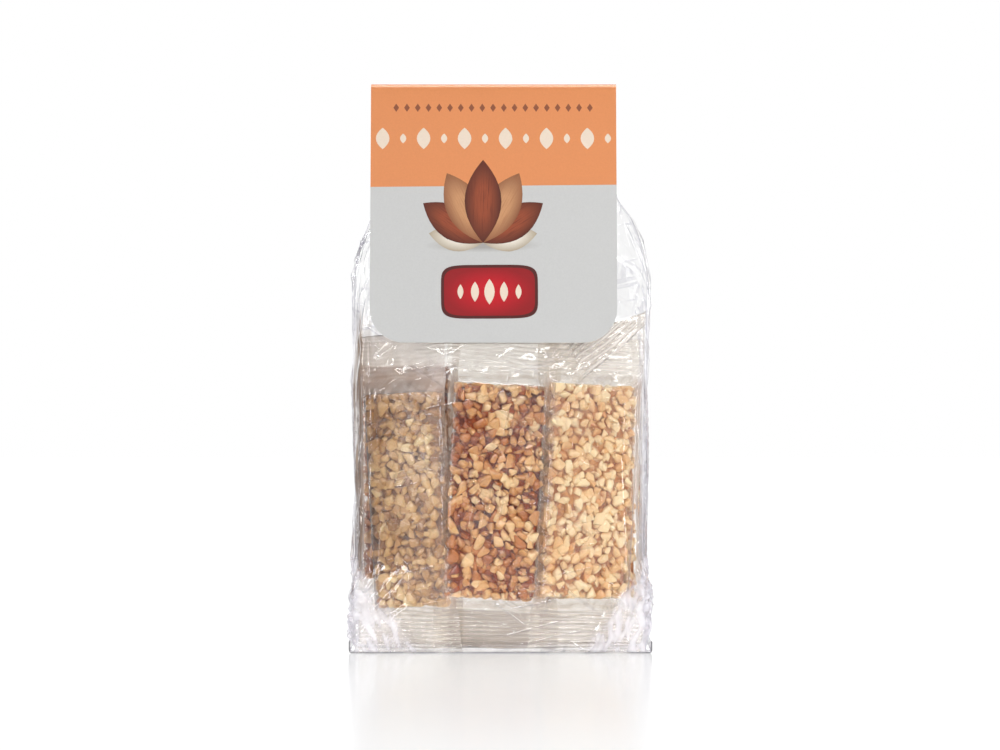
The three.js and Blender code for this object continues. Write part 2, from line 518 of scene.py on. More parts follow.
BAG_FILM = ClearFilm("bag_film_polypropylene", haze_colour="#f2f0fa")
HEM_FILM = ClearFilm(
    "folded_hem_film", passes="#a9a7ad", edge_passes="#77747f", haze=0.12, crumple_depth_mm=0.2
)
BASE_FILM = ClearFilm("bag_base_film", edge_passes="#eeedf2", crumple_depth_mm=0.3)
WRAP_FILM = ClearFilm(
    "bar_wrap_film",
    passes="#fffefc",
    edge_passes="#d8cfc6",
    edge_start=0.3,
    haze=0.008,
    haze_colour="#f6f0eb",
    crumple_mm=8.0,
    crumple_depth_mm=0.7,
    streak_angles=(4.0, -28.0, 86.0),
    streak_mm=(16.0, 0.9),
    streak_share=0.06,
    streak_depth_mm=0.12,
    streak_grey=0.15,
    seed_mm=37.0,
)
TABLE = WhiteAcrylic("white_acrylic_table")


class Roast(Enum):
    """How dark a bar was cooked, as the finishes of its nuts and of its caramel."""

    BLANCHED = (
        ChoppedAlmond(
            "blanched_almond", shades=("#f6daa2", "#e2b87a", "#c49250", "#9a642c"), stain="#a0652c"
        ),
        HardCaramel("clear_caramel", thin="#a06c36", thick="#724018"),
    )
    PALE = (ChoppedAlmond("pale_almond"), HardCaramel("pale_caramel"))
    DARK = (
        ChoppedAlmond(
            "toasted_almond", shades=("#f8d9a8", "#e4b070", "#bf7434", "#86340f"), stain="#8f3a10"
        ),
        HardCaramel("dark_caramel", thin="#ac5018", thick="#5c1f08"),
    )


# ---- Shapes ----


def smooth_step(low: float, high: float, values: np.ndarray) -> np.ndarray:
    """Rises from 0 at low to 1 at high, smoothly."""
    t = np.clip((values - low) / (high - low), 0, 1)
    return t * t * (3 - 2 * t)


@dataclass(frozen=True)
class SmoothNoise:
    """Seeded noise from about -1 to 1 that changes smoothly over a cell, in millimetres."""

    seed: int
    cell: float
    lattice_size: int = 32

    def at(self, *coordinates: np.ndarray) -> np.ndarray:
        """Reads the noise.

        Args:
            coordinates: up to three arrays of one shape, in millimetres.

        Returns:
            The noise at each place, in the arrays' shape.
        """
        shape = np.shape(coordinates[0])
        flat = [np.ravel(c) / self.cell for c in coordinates]
        flat += [np.full(flat[0].shape, 0.5)] * (3 - len(flat))
        points = np.stack(flat, axis=1)
        size = self.lattice_size
        lattice = np.random.default_rng(self.seed).uniform(-1, 1, (size, size, size))
        low = np.floor(points).astype(int)
        part = points - low
        part = part * part * (3 - 2 * part)
        total = np.zeros(len(points))
        for corner in np.ndindex(2, 2, 2):
            weight = np.prod(np.where(np.array(corner) == 1, part, 1 - part), axis=1)
            total += weight * lattice[tuple(((low + corner) % size).T)]
        return total.reshape(shape)


@dataclass(frozen=True)
class CreaseSpread:
    """Straight folds strewn over a stretch of film, each standing out like a small tent.

    Ranges are in millimetres and degrees. An angle of 90 runs up the film.
    """

    count: int
    across: tuple[float, float]
    up: tuple[float, float]
    angle: tuple[float, float]
    length: tuple[float, float]
    width: tuple[float, float]
    height: tuple[float, float]
    seed: int

    def repeated(self, middles: Iterable[float], mirrored: bool = False) -> list["CreaseSpread"]:
        """Repeats the spread round the bag, each time with its own draws.

        Args:
            middles: how far across each copy is moved.
            mirrored: whether every second copy leans the other way.

        Returns:
            The copies.
        """
        copies = []
        for i, middle in enumerate(middles):
            low, high = self.angle
            leaning = (180 - high, 180 - low) if mirrored and i % 2 else (low, high)
            across = (middle + self.across[0], middle + self.across[1])
            copies.append(replace(self, across=across, angle=leaning, seed=self.seed + i))
        return copies

    def relief(self, across: np.ndarray, up: np.ndarray) -> np.ndarray:
        """Gives how far the folds stand out at each place on the film.

        Args:
            across: places across the film.
            up: places up the film.

        Returns:
            The relief, outwards, in the shape of across.
        """
        rng = np.random.default_rng(self.seed)
        total = np.zeros(np.shape(across))
        for _ in range(self.count):
            x, z = rng.uniform(*self.across), rng.uniform(*self.up)
            angle = math.radians(rng.uniform(*self.angle))
            length, width = rng.uniform(*self.length), rng.uniform(*self.width)
            height = rng.uniform(*self.height)
            along = (across - x) * math.cos(angle) + (up - z) * math.sin(angle)
            aside = (up - z) * math.cos(angle) - (across - x) * math.sin(angle)
            tent = np.clip(1 - np.abs(aside) / width, 0, 1)
            total += height * tent * smooth_step(1.0, 0.35, np.abs(along) / (length / 2))
        return total


def mesh_object(
    name: str,
    points: np.ndarray,
    faces: Iterable[Iterable[int]],
    finishes: Iterable[Finish],
    sharp_degrees: float | None = None,
) -> Object:
    """Makes a smooth-shaded mesh object.

    Args:
        name: the object's name.
        points: its vertices in millimetres.
        faces: the vertex numbers of each face.
        finishes: its finishes, in the order of its material slots.
        sharp_degrees: edges that bend by more than this are sharp.

    Returns:
        The object, linked to the scene.
    """
    mesh = bpy.data.meshes.new(name)
    mesh.from_pydata((np.asarray(points) * MM).tolist(), [], faces)
    mesh.shade_smooth()
    if sharp_degrees is not None:
        mesh.set_sharp_from_angle(angle=math.radians(sharp_degrees))
    for finish in finishes:
        mesh.materials.append(finish.material())
    made = bpy.data.objects.new(name, mesh)
    bpy.context.scene.collection.objects.link(made)
    return made


def set_attribute(piece: Object, name: str, values: np.ndarray) -> None:
    """Keeps a number on each vertex for the finish to read."""
    attribute = piece.data.attributes.new(name, "FLOAT", "POINT")
    attribute.data.foreach_set("value", np.asarray(values, dtype=np.float32))


def grid_tube(rings: np.ndarray) -> tuple[np.ndarray, list[list[int]]]:
    """Makes a closed tube from rings of points, with a fan over each end.

    Args:
        rings: the points as (rings, points in a ring, 3), anticlockwise from above.

    Returns:
        The vertices, the two ends' middles last, and the faces.
    """
    rows, columns = rings.shape[:2]
    here = np.arange(rows - 1)[:, None] * columns + np.arange(columns)[None, :]
    following = np.roll(here, -1, axis=1)
    quads = np.stack([here, following, following + columns, here + columns], axis=-1)
    faces = quads.reshape(-1, 4).tolist()
    first, last = rows * columns, rows * columns + 1
    top = (rows - 1) * columns
    for i in range(columns):
        j = (i + 1) % columns
        faces.append([first, j, i])
        faces.append([last, top + i, top + j])
    ends = np.stack([rings[0].mean(axis=0), rings[-1].mean(axis=0)])
    return np.concatenate([rings.reshape(-1, 3), ends]), faces


def film_tube(
    name: str,
    points: np.ndarray,
    faces: list[list[int]],
    film: Finish,
    shares: Mapping[str, tuple[np.ndarray, float]],
) -> Object:
    """Dresses a closed tube of film.

    Args:
        name: the piece's name.
        points: the tube's vertices, the two ends' middles last.
        faces: its faces, of which the triangles close its ends.
        film: its finish. The ends take that of the bag's base, which doesn't glare.
        shares: what the finish reads by name, on the rings' points and on the two middles.

    Returns:
        The tube.
    """
    tube = mesh_object(name, points, faces, [film, BASE_FILM])
    tube.data.polygons.foreach_set("material_index", [int(len(face) == 3) for face in faces])
    for share, (on_rings, on_middles) in shares.items():
        set_attribute(tube, share, np.append(on_rings.ravel(), [on_middles, on_middles]))
    return tube


def finish_piece(piece: Object, slot: str, *nodes: str) -> Object:
    """Joins a finished piece to the frame.

    Args:
        piece: the piece.
        slot: not used.
        nodes: the CAD nodes that it stands for.

    Returns:
        The same piece.
    """
    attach(piece, BODY)
    if nodes:
        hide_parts(*nodes)
    LOG.info("%s: %d faces", piece.name, len(piece.data.polygons))
    return piece


# ---- The wrapped bars ----


@dataclass(frozen=True)
class BarPlace:
    """Where one bar stands in the bag, and its size, in millimetres and degrees.

    A positive lean tips the bar's top to the right, and a positive turn sets its right
    edge back.
    """

    name: str
    across: float
    back: float
    up: float
    lean: float
    turn: float
    seed: int
    width: float = 36.5
    length: float = 85.5
    thickness: float = 8.6
    low_end: float = 20.0  # from the bar's low end to its wrapper's
    high_end: float = 20.0
    roast: Roast = Roast.PALE
    toast: float = 0.2  # how brown its nuts are, from 0 to 1
    dull: float = 0.0  # how dull its wrapper is, from 0 to 1
    fold_up: float | None = None  # from the bar's end to where the wrapper's top folds over
    crimp_pitch: float = 1.7
    crimp_height: tuple[float, float] = (0.95, 0.6)  # of the ridges at the low and high end
    press: tuple[float, float] = (1.5, 0.9)  # how much its seals whiten its low and high end: partly the seals' frosting, partly painted highlight on the ridges
    crimp_waver: float = 0.9
    crimp_span: tuple[float, float] = (0.0, 80.0)  # middle and half width of its plainest ridges
    amber_top: float = 0.0  # how much painted amber light, in the colour of the bars behind, veils its high end
    shaded_foot: float = 0.0  # how much painted shade dims what is seen through its low end
    dim_margin: float = 0.0  # and how much painted shade dims what is seen through its left margin

    @property
    def half(self) -> np.ndarray:
        """Half the bar's width, thickness and length."""
        return np.array([self.width, self.thickness, self.length]) / 2

    def placed(self, local: np.ndarray) -> np.ndarray:
        """Moves points from the bar's own frame to the bag's.

        Args:
            local: points across, back and along the bar, from its middle.

        Returns:
            The points in the bag's frame.
        """
        turn, lean = math.radians(self.turn), math.radians(self.lean)
        turned = np.array(
            [[math.cos(turn), -math.sin(turn), 0], [math.sin(turn), math.cos(turn), 0], [0, 0, 1]]
        )
        leaned = np.array(
            [[math.cos(lean), 0, math.sin(lean)], [0, 1, 0], [-math.sin(lean), 0, math.cos(lean)]]
        )
        return local @ (leaned @ turned).T + np.array([self.across, self.back, self.up])


BAR_PLACES = (
    BarPlace(
        "front_left", across=-36.6, back=-5.8, up=60.2, lean=-3.2, turn=-27.0, seed=21,
        width=31.8, high_end=24.0, roast=Roast.BLANCHED, toast=0.4, dull=0.16,
        crimp_height=(0.7, 0.3), press=(1.6, 1.6), amber_top=0.5, dim_margin=0.6,
    ),
    BarPlace(
        "front_middle", across=-2.0, back=-11.6, up=63.6, lean=3.0, turn=1.5, seed=22,
        width=37.4, roast=Roast.DARK, toast=0.36,
        crimp_height=(1.1, 0.5), press=(0.7, 0.9), shaded_foot=0.3,
    ),
    BarPlace(
        "front_right", across=35.0, back=-5.4, up=63.6, lean=3.1, turn=23.0, seed=23,
        width=37.0, high_end=36.0, dull=0.1, fold_up=22.0, crimp_pitch=2.4,
        crimp_height=(0.8, 0.5), press=(1.5, 3.4), crimp_waver=0.3, crimp_span=(0.0, 15.0),
    ),
    BarPlace(
        "back_left", across=-37.5, back=9.4, up=71.0, lean=-0.6, turn=1.0, seed=24,
        width=36.2, low_end=30.0, high_end=10.0, roast=Roast.DARK, toast=0.5, dull=0.3,
    ),
    BarPlace(
        "back_middle", across=1.8, back=5.5, up=63.0, lean=0.8, turn=-1.0, seed=25, width=37.0, toast=0.5
    ),
    BarPlace("back_right", across=37.2, back=10.6, up=62.4, lean=-0.4, turn=-1.0, seed=26, width=36.0),
)


@dataclass(frozen=True)
class BrittleBar:
    """A bar of chopped almonds set in caramel, cut from a rolled slab."""

    place: BarPlace
    pitch: float = 3.85  # between nut pieces in a layer
    row_share: float = 0.87  # of the pitch, between rows, as shifted rows nest
    inset: float = 1.8  # of the outermost middles from the bar's cut sides
    outer_depth: float = 1.9  # of the outer layers' middles below a face
    layer_gap: float = 1.5  # from there to the next layers inwards
    strewing: tuple[float, float, float] = (0.6, 0.45, 0.6)  # how far pieces lie off the grid
    sizes: tuple[float, float] = (4.0, 8.0)
    size_spread: tuple[float, float] = (1.7, 2.2)  # the powers of a beta curve
    stretch: tuple[tuple[float, float, float], ...] = ((0.95, 0.8, 0.62), (1.18, 1.02, 0.9))
    blunting: float = 0.05  # of a piece's size
    kinds: int = 40
    crumbs: int = 150  # on each face
    crumb_sizes: tuple[float, float] = (1.8, 3.6)
    crumb_inset: float = 0.8
    crumb_depth: tuple[float, float] = (1.2, 0.4)  # below a face, and its spread
    cluster: SmoothNoise = SmoothNoise(5, 16.0)
    clustering: float = 0.24  # how far toasted pieces keep together
    cluster_step: float = 40.0  # from one bar's clusters to the next one's
    tone_spread: float = 0.18
    ragged: tuple[float, float, float] = (0.1, 0.5, 0.1)  # how far pieces stand out each way
    left_over: float = 0.15  # of a piece past its bar's face, where it is trimmed
    sunk_depth: float = 2.6  # from here inwards a piece is wholly sunk
    slab_inset: tuple[float, float, float] = (1.5, 2.0, 1.5)
    slab_steps: tuple[int, int] = (40, 60)  # round the slab and along it
    slab_blunting: float = 0.25  # a low power squares the slab's section
    lumps: tuple[float, float] = (0.02, 0.16)  # of its half width and half thickness

    def nut_shape(self, rng: np.random.Generator, blunting: float) -> tuple[np.ndarray, np.ndarray]:
        """Makes one broken piece of nut of about unit size.

        Args:
            rng: the draws that shape it.
            blunting: how much its edges are blunted, 0 for none.

        Returns:
            Its vertices, and its triangles.
        """
        count = int(rng.integers(7, 11))
        step = np.arange(count) + 0.5
        lift = 1 - 2 * step / count
        golden = math.pi * (3 - math.sqrt(5))
        ring = np.sqrt(1 - lift**2)
        points = np.stack([ring * np.cos(golden * step), ring * np.sin(golden * step), lift], axis=1)
        points += rng.normal(0, 0.2, points.shape)
        points *= 0.5 * rng.uniform(*self.stretch)
        shape = bmesh.new()
        corners = [shape.verts.new(p) for p in points]
        bmesh.ops.convex_hull(shape, input=corners)
        loose = [v for v in shape.verts if not v.link_faces]
        bmesh.ops.delete(shape, geom=loose, context="VERTS")
        if blunting > 0:
            edges = shape.verts[:] + shape.edges[:]
            bmesh.ops.bevel(
                shape, geom=edges, offset=blunting, segments=1, affect="EDGES", clamp_overlap=True
            )
        bmesh.ops.triangulate(shape, faces=shape.faces[:])
        shape.verts.index_update()
        vertices = np.array([v.co for v in shape.verts])
        triangles = np.array([[v.index for v in f.verts] for f in shape.faces])
        shape.free()
        return vertices, triangles

    def layer(self, rng: np.random.Generator, back: float, rim_only: bool) -> np.ndarray:
        """Spreads the middles of one layer of nut pieces.

        Args:
            rng: the draws that push them about.
            back: the layer's place through the bar's thickness.
            rim_only: leaves out the pieces that the bar's faces hide.

        Returns:
            The middles, across, back and along the bar.
        """
        half_width, _, half_length = self.place.half - self.inset
        rows = int(2 * half_length / (self.pitch * self.row_share)) + 1
        middles = []
        for row in range(rows):
            along = -half_length + 2 * half_length * row / (rows - 1)
            shift = self.pitch / 2 * (row % 2)
            for across in np.arange(-half_width + shift, half_width + 0.01, self.pitch):
                inside = min(half_width - abs(across), half_length - abs(along))
                if not rim_only or inside < self.pitch:
                    middles.append((across, back, along))
        centred = np.array(middles)
        return centred + rng.normal(0, self.strewing, centred.shape)

    def crumb_places(self, rng: np.random.Generator) -> np.ndarray:
        """Spreads the middles of the crumbs over both faces, between the larger pieces.

        Args:
            rng: the draws that place them.

        Returns:
            The middles, across, back and along the bar.
        """
        half_width, _, half_length = self.place.half - self.crumb_inset
        below, spread = self.crumb_depth
        across = rng.uniform(-half_width, half_width, 2 * self.crumbs)
        along = rng.uniform(-half_length, half_length, 2 * self.crumbs)
        depth = rng.normal(self.place.thickness / 2 - below, spread, 2 * self.crumbs)
        depth[::2] *= -1
        return np.stack([across, depth, along], axis=1)

    def strewn(
        self, rng: np.random.Generator, middles: np.ndarray, sizes: tuple[float, float], blunting: float
    ) -> tuple[np.ndarray, np.ndarray, np.ndarray]:
        """Puts a nut piece at each place, turned any way.

        Args:
            rng: the draws for shapes, sizes, turns and tones.
            middles: the places.
            sizes: the smallest and the largest size.
            blunting: how much the pieces' edges are blunted.

        Returns:
            The vertices, the triangles and each vertex's tone.
        """
        shapes = [self.nut_shape(rng, blunting) for _ in range(self.kinds)]
        clusters = self.cluster.at(*(middles + (self.cluster_step * self.place.seed, 0.0, 0.0)).T)
        points, triangles, tones, used = [], [], [], 0
        for middle, clustered in zip(middles, clusters):
            vertices, faces = shapes[rng.integers(len(shapes))]
            turned, _ = np.linalg.qr(rng.normal(size=(3, 3)))
            if np.linalg.det(turned) < 0:
                turned[:, 0] *= -1
            size = sizes[0] + (sizes[1] - sizes[0]) * rng.beta(*self.size_spread)
            points.append(vertices @ turned.T * size + middle)
            triangles.append(faces + used)
            used += len(vertices)
            tone = self.place.toast + self.clustering * clustered + rng.normal(0, self.tone_spread)
            tones.append(np.full(len(vertices), np.clip(tone, 0, 1)))
        return np.concatenate(points), np.concatenate(triangles), np.concatenate(tones)

    def cut(self, local: np.ndarray) -> np.ndarray:
        """Trims the nut pieces at the bar's cut sides and rolled faces.

        Args:
            local: the pieces' points in the bar's own frame.

        Returns:
            The points, none of them far outside the bar.
        """
        uneven = SmoothNoise(self.place.seed + 70, 5.0).at(*local.T)[:, None]
        limit = self.place.half + self.ragged + 0.5 * uneven
        past = np.abs(local) - limit
        return np.sign(local) * np.minimum(np.abs(local), limit + self.left_over * past)

    def nuts(self) -> Object:
        """Builds the bar's nut pieces as one mesh.

        Returns:
            The piece, with each vertex's tone and how deep it is sunk in the bar.
        """
        rng = np.random.default_rng(self.place.seed)
        outer = self.place.thickness / 2 - self.outer_depth
        inner = outer - self.layer_gap
        middles = np.concatenate(
            [self.layer(rng, back, back == 0) for back in (-outer, -inner, 0.0, inner, outer)]
        )
        big = self.strewn(rng, middles, self.sizes, self.blunting)
        small = self.strewn(rng, self.crumb_places(rng), self.crumb_sizes, 0.0)
        local = self.cut(np.concatenate([big[0], small[0]]))
        triangles = np.concatenate([big[1], small[1] + len(big[0])])
        sunk = np.clip((self.place.half - np.abs(local)).min(axis=1) / self.sunk_depth, 0, 1)
        nut_finish, _ = self.place.roast.value
        name, points = f"nuts_{self.place.name}", self.place.placed(local)
        nuts = mesh_object(name, points, triangles.tolist(), [nut_finish], sharp_degrees=40)
        set_attribute(nuts, "tone", np.concatenate([big[2], small[2]]))
        set_attribute(nuts, "sunk", sunk)
        return finish_piece(nuts, "nut_brittle")

    def caramel(self) -> Object:
        """Builds the set caramel between the nut pieces as a lumpy slab.

        Returns:
            The piece.
        """
        half_width, half_thick, half_length = self.place.half - self.slab_inset
        columns, rows = self.slab_steps
        angle = 2 * math.pi * np.arange(columns) / columns
        c, s = np.cos(angle), np.sin(angle)
        rings = np.empty((rows, columns, 3))
        rings[..., 0] = half_width * np.sign(c) * np.abs(c) ** self.slab_blunting
        rings[..., 1] = half_thick * np.sign(s) * np.abs(s) ** self.slab_blunting
        rings[..., 2] = np.linspace(-half_length, half_length, rows)[:, None]
        lumpy = SmoothNoise(self.place.seed + 50, 3.0).at(*np.moveaxis(rings, -1, 0))
        for axis, share in enumerate(self.lumps):
            rings[..., axis] *= 1 + share * lumpy
        points, faces = grid_tube(rings)
        _, caramel_finish = self.place.roast.value
        name = f"caramel_{self.place.name}"
        slab = mesh_object(name, self.place.placed(points), faces, [caramel_finish])
        return finish_piece(slab, "nut_brittle")


@dataclass(frozen=True)
class WrapGrid:
    """A wrapper's points, flat, and what its film and its crimps are like at each."""

    x: np.ndarray  # across the wrapper
    z: np.ndarray  # along it
    out: np.ndarray  # how far out across each point of a ring is, from 0 to 1
    side: np.ndarray  # -1 on the front and 1 on the rear
    half_width: np.ndarray  # of each ring
    past: np.ndarray  # how far each ring is past the bar's end
    low: np.ndarray  # whether each ring is in the low half
    flat: np.ndarray  # how far each ring is flattened
    crimped: np.ndarray  # how far each ring is crimped
    ridges: np.ndarray  # from -1 in a valley to 1 on a ridge
    plain: np.ndarray  # how much of them is left away from the plainest ones
    worn: np.ndarray  # how worn the film is, about 1
    sway: np.ndarray  # how the loose film sways


@dataclass(frozen=True)
class FlowWrap:
    """A bar's own clear wrapper: a film tube, flattened and crimped at both ends."""

    place: BarPlace
    margin: float = 2.6  # film beyond the bar at each side
    slack: float = 0.7  # film off the bar's faces
    shoulder: float = 5.5  # from the bar's end to the crimp
    flat_from: float = -1.5  # past the bar's end, where the tube starts to flatten
    crimp_from: tuple[float, float] = (-1.5, 0.5)  # past the shoulder, from no crimp to a whole one
    edge_bend: float = 1.2  # more than the margin, over which the film closes at a side
    edge_power: int = 8  # how suddenly it closes
    film_gap: float = 0.22  # half the thickness of the flattened tube
    widening: float = 1.0  # of the flattened tube at each side
    fold_rise: float = 20.0  # degrees that a folded top's fold rises to the right
    fold_radius: float = 1.0
    tooth_pitch: float = 2.0  # of the zigzag cut at both ends
    tooth_depth: float = 0.5
    ragged: float = 1.6  # how far the cut end strays
    cut_fade: float = 6.0  # from the cut end inwards, where its shape has died away
    wrinkles_in_crimp: float = 0.12  # the share of the wrinkles that a crimp leaves
    free_from: tuple[float, float] = (0.0, 10.0)  # past the bar's end, from held to free film
    sway: float = 1.6  # how far the film off the bar sways
    crush: float = 0.8  # and how high its sharp folds stand
    wear: float = 0.45  # how much the crimps' ridges vary in height
    plain_share: float = 0.25  # of their height, away from the plainest ridges
    pressed_valley: float = 0.15  # how white a crimp's valleys are beside its ridges, whose white is partly painted highlight
    pressed_least: float = 0.4  # and how white it is where it is wholly worn
    shoulder_veil: float = 0.3
    amber_veil: float = 2.2  # more of it where painted amber light veils the high end
    veil_from: tuple[float, float] = (-2.0, 2.0)  # past the bar's end, from none to all of it
    amber_span: tuple[tuple[float, float], ...] = ((-1.5, 1.5), (16.0, 4.0))  # where painted amber light on the high end starts and ends
    margin_from: tuple[float, float] = (-2.0, 0.5)  # past the bar's side, where painted amber light in the bar's colour veils the film
    margin_until: tuple[float, float] = (4.0, -1.0)  # past its end, from none to all of that
    foot_within: tuple[float, float] = (1.0, -5.0)  # past its side, from none of the painted shade at the low end to all of it
    columns: int = 52  # on each face
    coarse_step: float = 1.3
    fine_step: float = 0.32
    floor_gap: float = 0.9
    bag_gap: float = 0.5
    give: float = 1.5  # how deep the bag presses into a wrapper

    def noise(self, number: int, cell: float) -> SmoothNoise:
        """Gives one of the wrapper's own noises."""
        return SmoothNoise(self.place.seed + 60 + number, cell)

    def levels(self) -> np.ndarray:
        """Gives the places along the wrapper, closer together in the crimps.

        Returns:
            The places, from the low end to the high end.
        """
        half = self.place.length / 2
        low, high = -half - self.place.low_end, half + self.place.high_end
        marks = [low, -half + 1, half - 1, high]
        steps = [self.fine_step, self.coarse_step, self.fine_step]
        parts = [
            np.linspace(a, b, max(int((b - a) / step), 2), endpoint=False)
            for a, b, step in zip(marks, marks[1:], steps)
        ]
        return np.concatenate([*parts, [high]])

    def wrinkles(self, across: np.ndarray, along: np.ndarray, seed: int) -> np.ndarray:
        """Gives the wrinkles of one face, outwards.

        Args:
            across: places across the face.
            along: places along it.
            seed: picks this face's wrinkles.

        Returns:
            The relief in the arrays' shape.
        """
        half = self.place.length / 2
        face = (-self.place.width / 2, self.place.width / 2)
        loose = CreaseSpread(30, face, (-half, half), (0, 180), (10, 34), (1.2, 3.0), (0.1, 0.4), seed + 3)
        total = loose.relief(across, along)
        for i, end in enumerate((-half - 4, half + 4)):
            ends = (end - 3, end + 3)
            pleats = CreaseSpread(26, face, ends, (78, 102), (6, 16), (0.8, 2.0), (0.3, 1.0), seed + 1 + i)
            total += pleats.relief(across, along)
        return total

    def held_in(self, points: np.ndarray) -> np.ndarray:
        """Presses the wrapper in where it would stand through the bag or the floor.

        Args:
            points: the wrapper's points in the bag's frame.

        Returns:
            The points inside the bag.
        """
        held = points.copy()
        height = points[:, 2]
        for axis, key in ((0, "side"), (1, "depth")):
            limit = BagFilm().measure(key, height) - self.bag_gap - self.give
            out = np.abs(points[:, axis])
            past = np.maximum(out - limit, 0)
            pressed = np.minimum(out, limit) + self.give * (1 - np.exp(-past / self.give))
            held[:, axis] = np.sign(points[:, axis]) * pressed
        held[:, 2] = np.maximum(height, self.floor_gap + 0.02 * (height % 1))
        return held

    def folded_over(self, rings: np.ndarray, up: float) -> np.ndarray:
        """Folds the wrapper's top forwards over a slanting line.

        Args:
            rings: the wrapper's points.
            up: where the fold crosses the wrapper's middle.

        Returns:
            The points, with those past the fold turned over to the front.
        """
        rise, radius = math.radians(self.fold_rise), self.fold_radius
        normal = np.array([-math.sin(rise), math.cos(rise)])
        past = (rings[..., [0, 2]] - (0.0, up)) @ normal
        over = np.maximum(past, 0)
        angle = np.minimum(over / radius, math.pi)
        lie = radius * np.sin(angle) - (over - radius * angle)
        folded = rings.copy()
        folded[..., [0, 2]] += (lie - over)[..., None] * normal
        folded[..., 1] = np.cos(angle) * rings[..., 1] - radius * (1 - np.cos(angle))
        return folded

    def grid(self) -> WrapGrid:
        """Lays out the wrapper's points and its crimps.

        Returns:
            The points, ring by ring from the low end.
        """
        place, along = self.place, self.levels()[:, None]
        past = np.abs(along) - place.length / 2
        flat = smooth_step(self.flat_from, self.shoulder, past)
        sweep = -np.cos(math.pi * np.arange(self.columns) / self.columns)
        half_width = place.width / 2 + self.margin + self.widening * flat
        ring = np.concatenate([sweep, -sweep])
        x = half_width * ring
        z = np.broadcast_to(along, x.shape)
        phase = (z + place.crimp_waver * self.noise(0, 9.0).at(x, z / 6)) / place.crimp_pitch
        middle, reach = place.crimp_span
        near = smooth_step(reach + 3, reach - 3, np.abs(x - middle))
        return WrapGrid(
            x=x,
            z=z,
            half_width=half_width,
            out=np.abs(ring),
            side=np.repeat([-1.0, 1.0], self.columns),
            past=past,
            low=along < 0,
            flat=flat,
            crimped=smooth_step(*self.crimp_from, past - self.shoulder),
            ridges=2 * np.abs(2 * (phase - np.floor(phase + 0.5))) - 1,
            plain=np.where(z > 0, self.plain_share + (1 - self.plain_share) * near, 1),
            worn=1 - self.noise(3, 5.0).at(x, z),
            sway=self.noise(1, 17.0).at(x, z),
        )

    def ridge_height(self, at: WrapGrid) -> np.ndarray:
        """Gives the share of the ridges' height that wear leaves at each point."""
        return 1 - self.wear * self.place.crimp_waver * at.worn

    def form(self, at: WrapGrid) -> np.ndarray:
        """Forms the film round the bar, wrinkles it and crimps its ends.

        Args:
            at: the wrapper's points.

        Returns:
            The rings' points in the bar's own frame.
        """
        place = self.place
        half_thick = (place.thickness / 2 + self.slack) * (1 - at.flat)
        crown = 1 - smooth_step(1 - (self.margin + self.edge_bend) / at.half_width, 1, at.out)
        back = at.side * (half_thick * crown + self.film_gap * (1 - at.out**self.edge_power))
        front, rear = (self.wrinkles(at.x, at.z, 100 * place.seed + start) for start in (0, 10))
        loose = 1 - smooth_step(self.shoulder - 3, self.shoulder, at.past)
        kept = self.wrinkles_in_crimp + (1 - self.wrinkles_in_crimp) * loose
        back = back + at.side * crown * np.where(at.side < 0, front, rear) * kept
        tall = np.where(at.low, *place.crimp_height) * at.plain
        back = back + at.crimped * tall * self.ridge_height(at) * at.ridges
        crush = 1 - 2 * np.abs(self.noise(2, 6.5).at(at.x, at.z))
        free = smooth_step(*self.free_from, at.past)
        back = back + free * (self.sway * at.sway + self.crush * crush)

        tooth = np.abs(2 * ((at.x / self.tooth_pitch) % 1) - 1) - 0.5
        stray = self.noise(4, 12.0).at(at.x[:1], np.full(at.x[:1].shape, 100.0))
        beyond = at.past - np.where(at.low, place.low_end, place.high_end)
        at_end = smooth_step(-self.cut_fade, 0, beyond)
        cut_end = self.tooth_depth * tooth + self.ragged * stray
        rings = np.stack([at.x, back, at.z + np.where(at.low, -1, 1) * at_end * cut_end], axis=-1)
        if place.fold_up is None:
            return rings
        return self.folded_over(rings, place.length / 2 + place.fold_up)

    def shares(self, at: WrapGrid) -> dict[str, tuple[np.ndarray, float]]:
        """Works out where the film is white, where painted amber light veils it and where
        painted shade dims it.

        Args:
            at: the wrapper's points.

        Returns:
            What the finish reads by name, on the points and on the ends' middles.
        """
        place, aside = self.place, np.abs(at.x) - self.place.width / 2
        # Whiter on the crimps' ridges than in their valleys: partly the seals' frosting, partly painted
        # highlight.
        white = self.pressed_valley + (1 - self.pressed_valley) * smooth_step(-0.2, 0.8, at.ridges)
        least = self.pressed_least
        pressed = at.crimped * white * (least + (1 - least) * self.ridge_height(at))
        pressed = pressed * np.where(at.low, *place.press) * at.plain
        veil = self.shoulder_veil + np.where(at.low, 0, self.amber_veil * place.amber_top)
        sealed = np.maximum(veil * smooth_step(*self.veil_from, at.past), pressed)
        # Painted amber light, in the bars' colour, over the film beside the bar and at its high end.
        beside = smooth_step(*self.margin_until, at.past) * smooth_step(*self.margin_from, aside)
        starts, ends = (smooth_step(*span, at.past) for span in self.amber_span)
        top = np.where(at.low, 0, place.amber_top) * starts * ends
        bunched = np.maximum(beside * np.where(at.x < 0, 1 - place.dim_margin, 1), top)
        # Painted shade over the low end's crimp and over the left margin.
        inner = smooth_step(*self.foot_within, aside)
        foot = at.crimped * np.where(at.low, place.shaded_foot, 0) * inner * (1 - 0.5 * at.sway)
        return {
            "sealed": (np.maximum(sealed, place.dull), 1.0),
            "bunched": (bunched * (1 - 0.4 * at.worn), 0.0),
            "shaded": (np.maximum(foot, place.dim_margin * beside * (at.x < 0)), 0.0),
        }

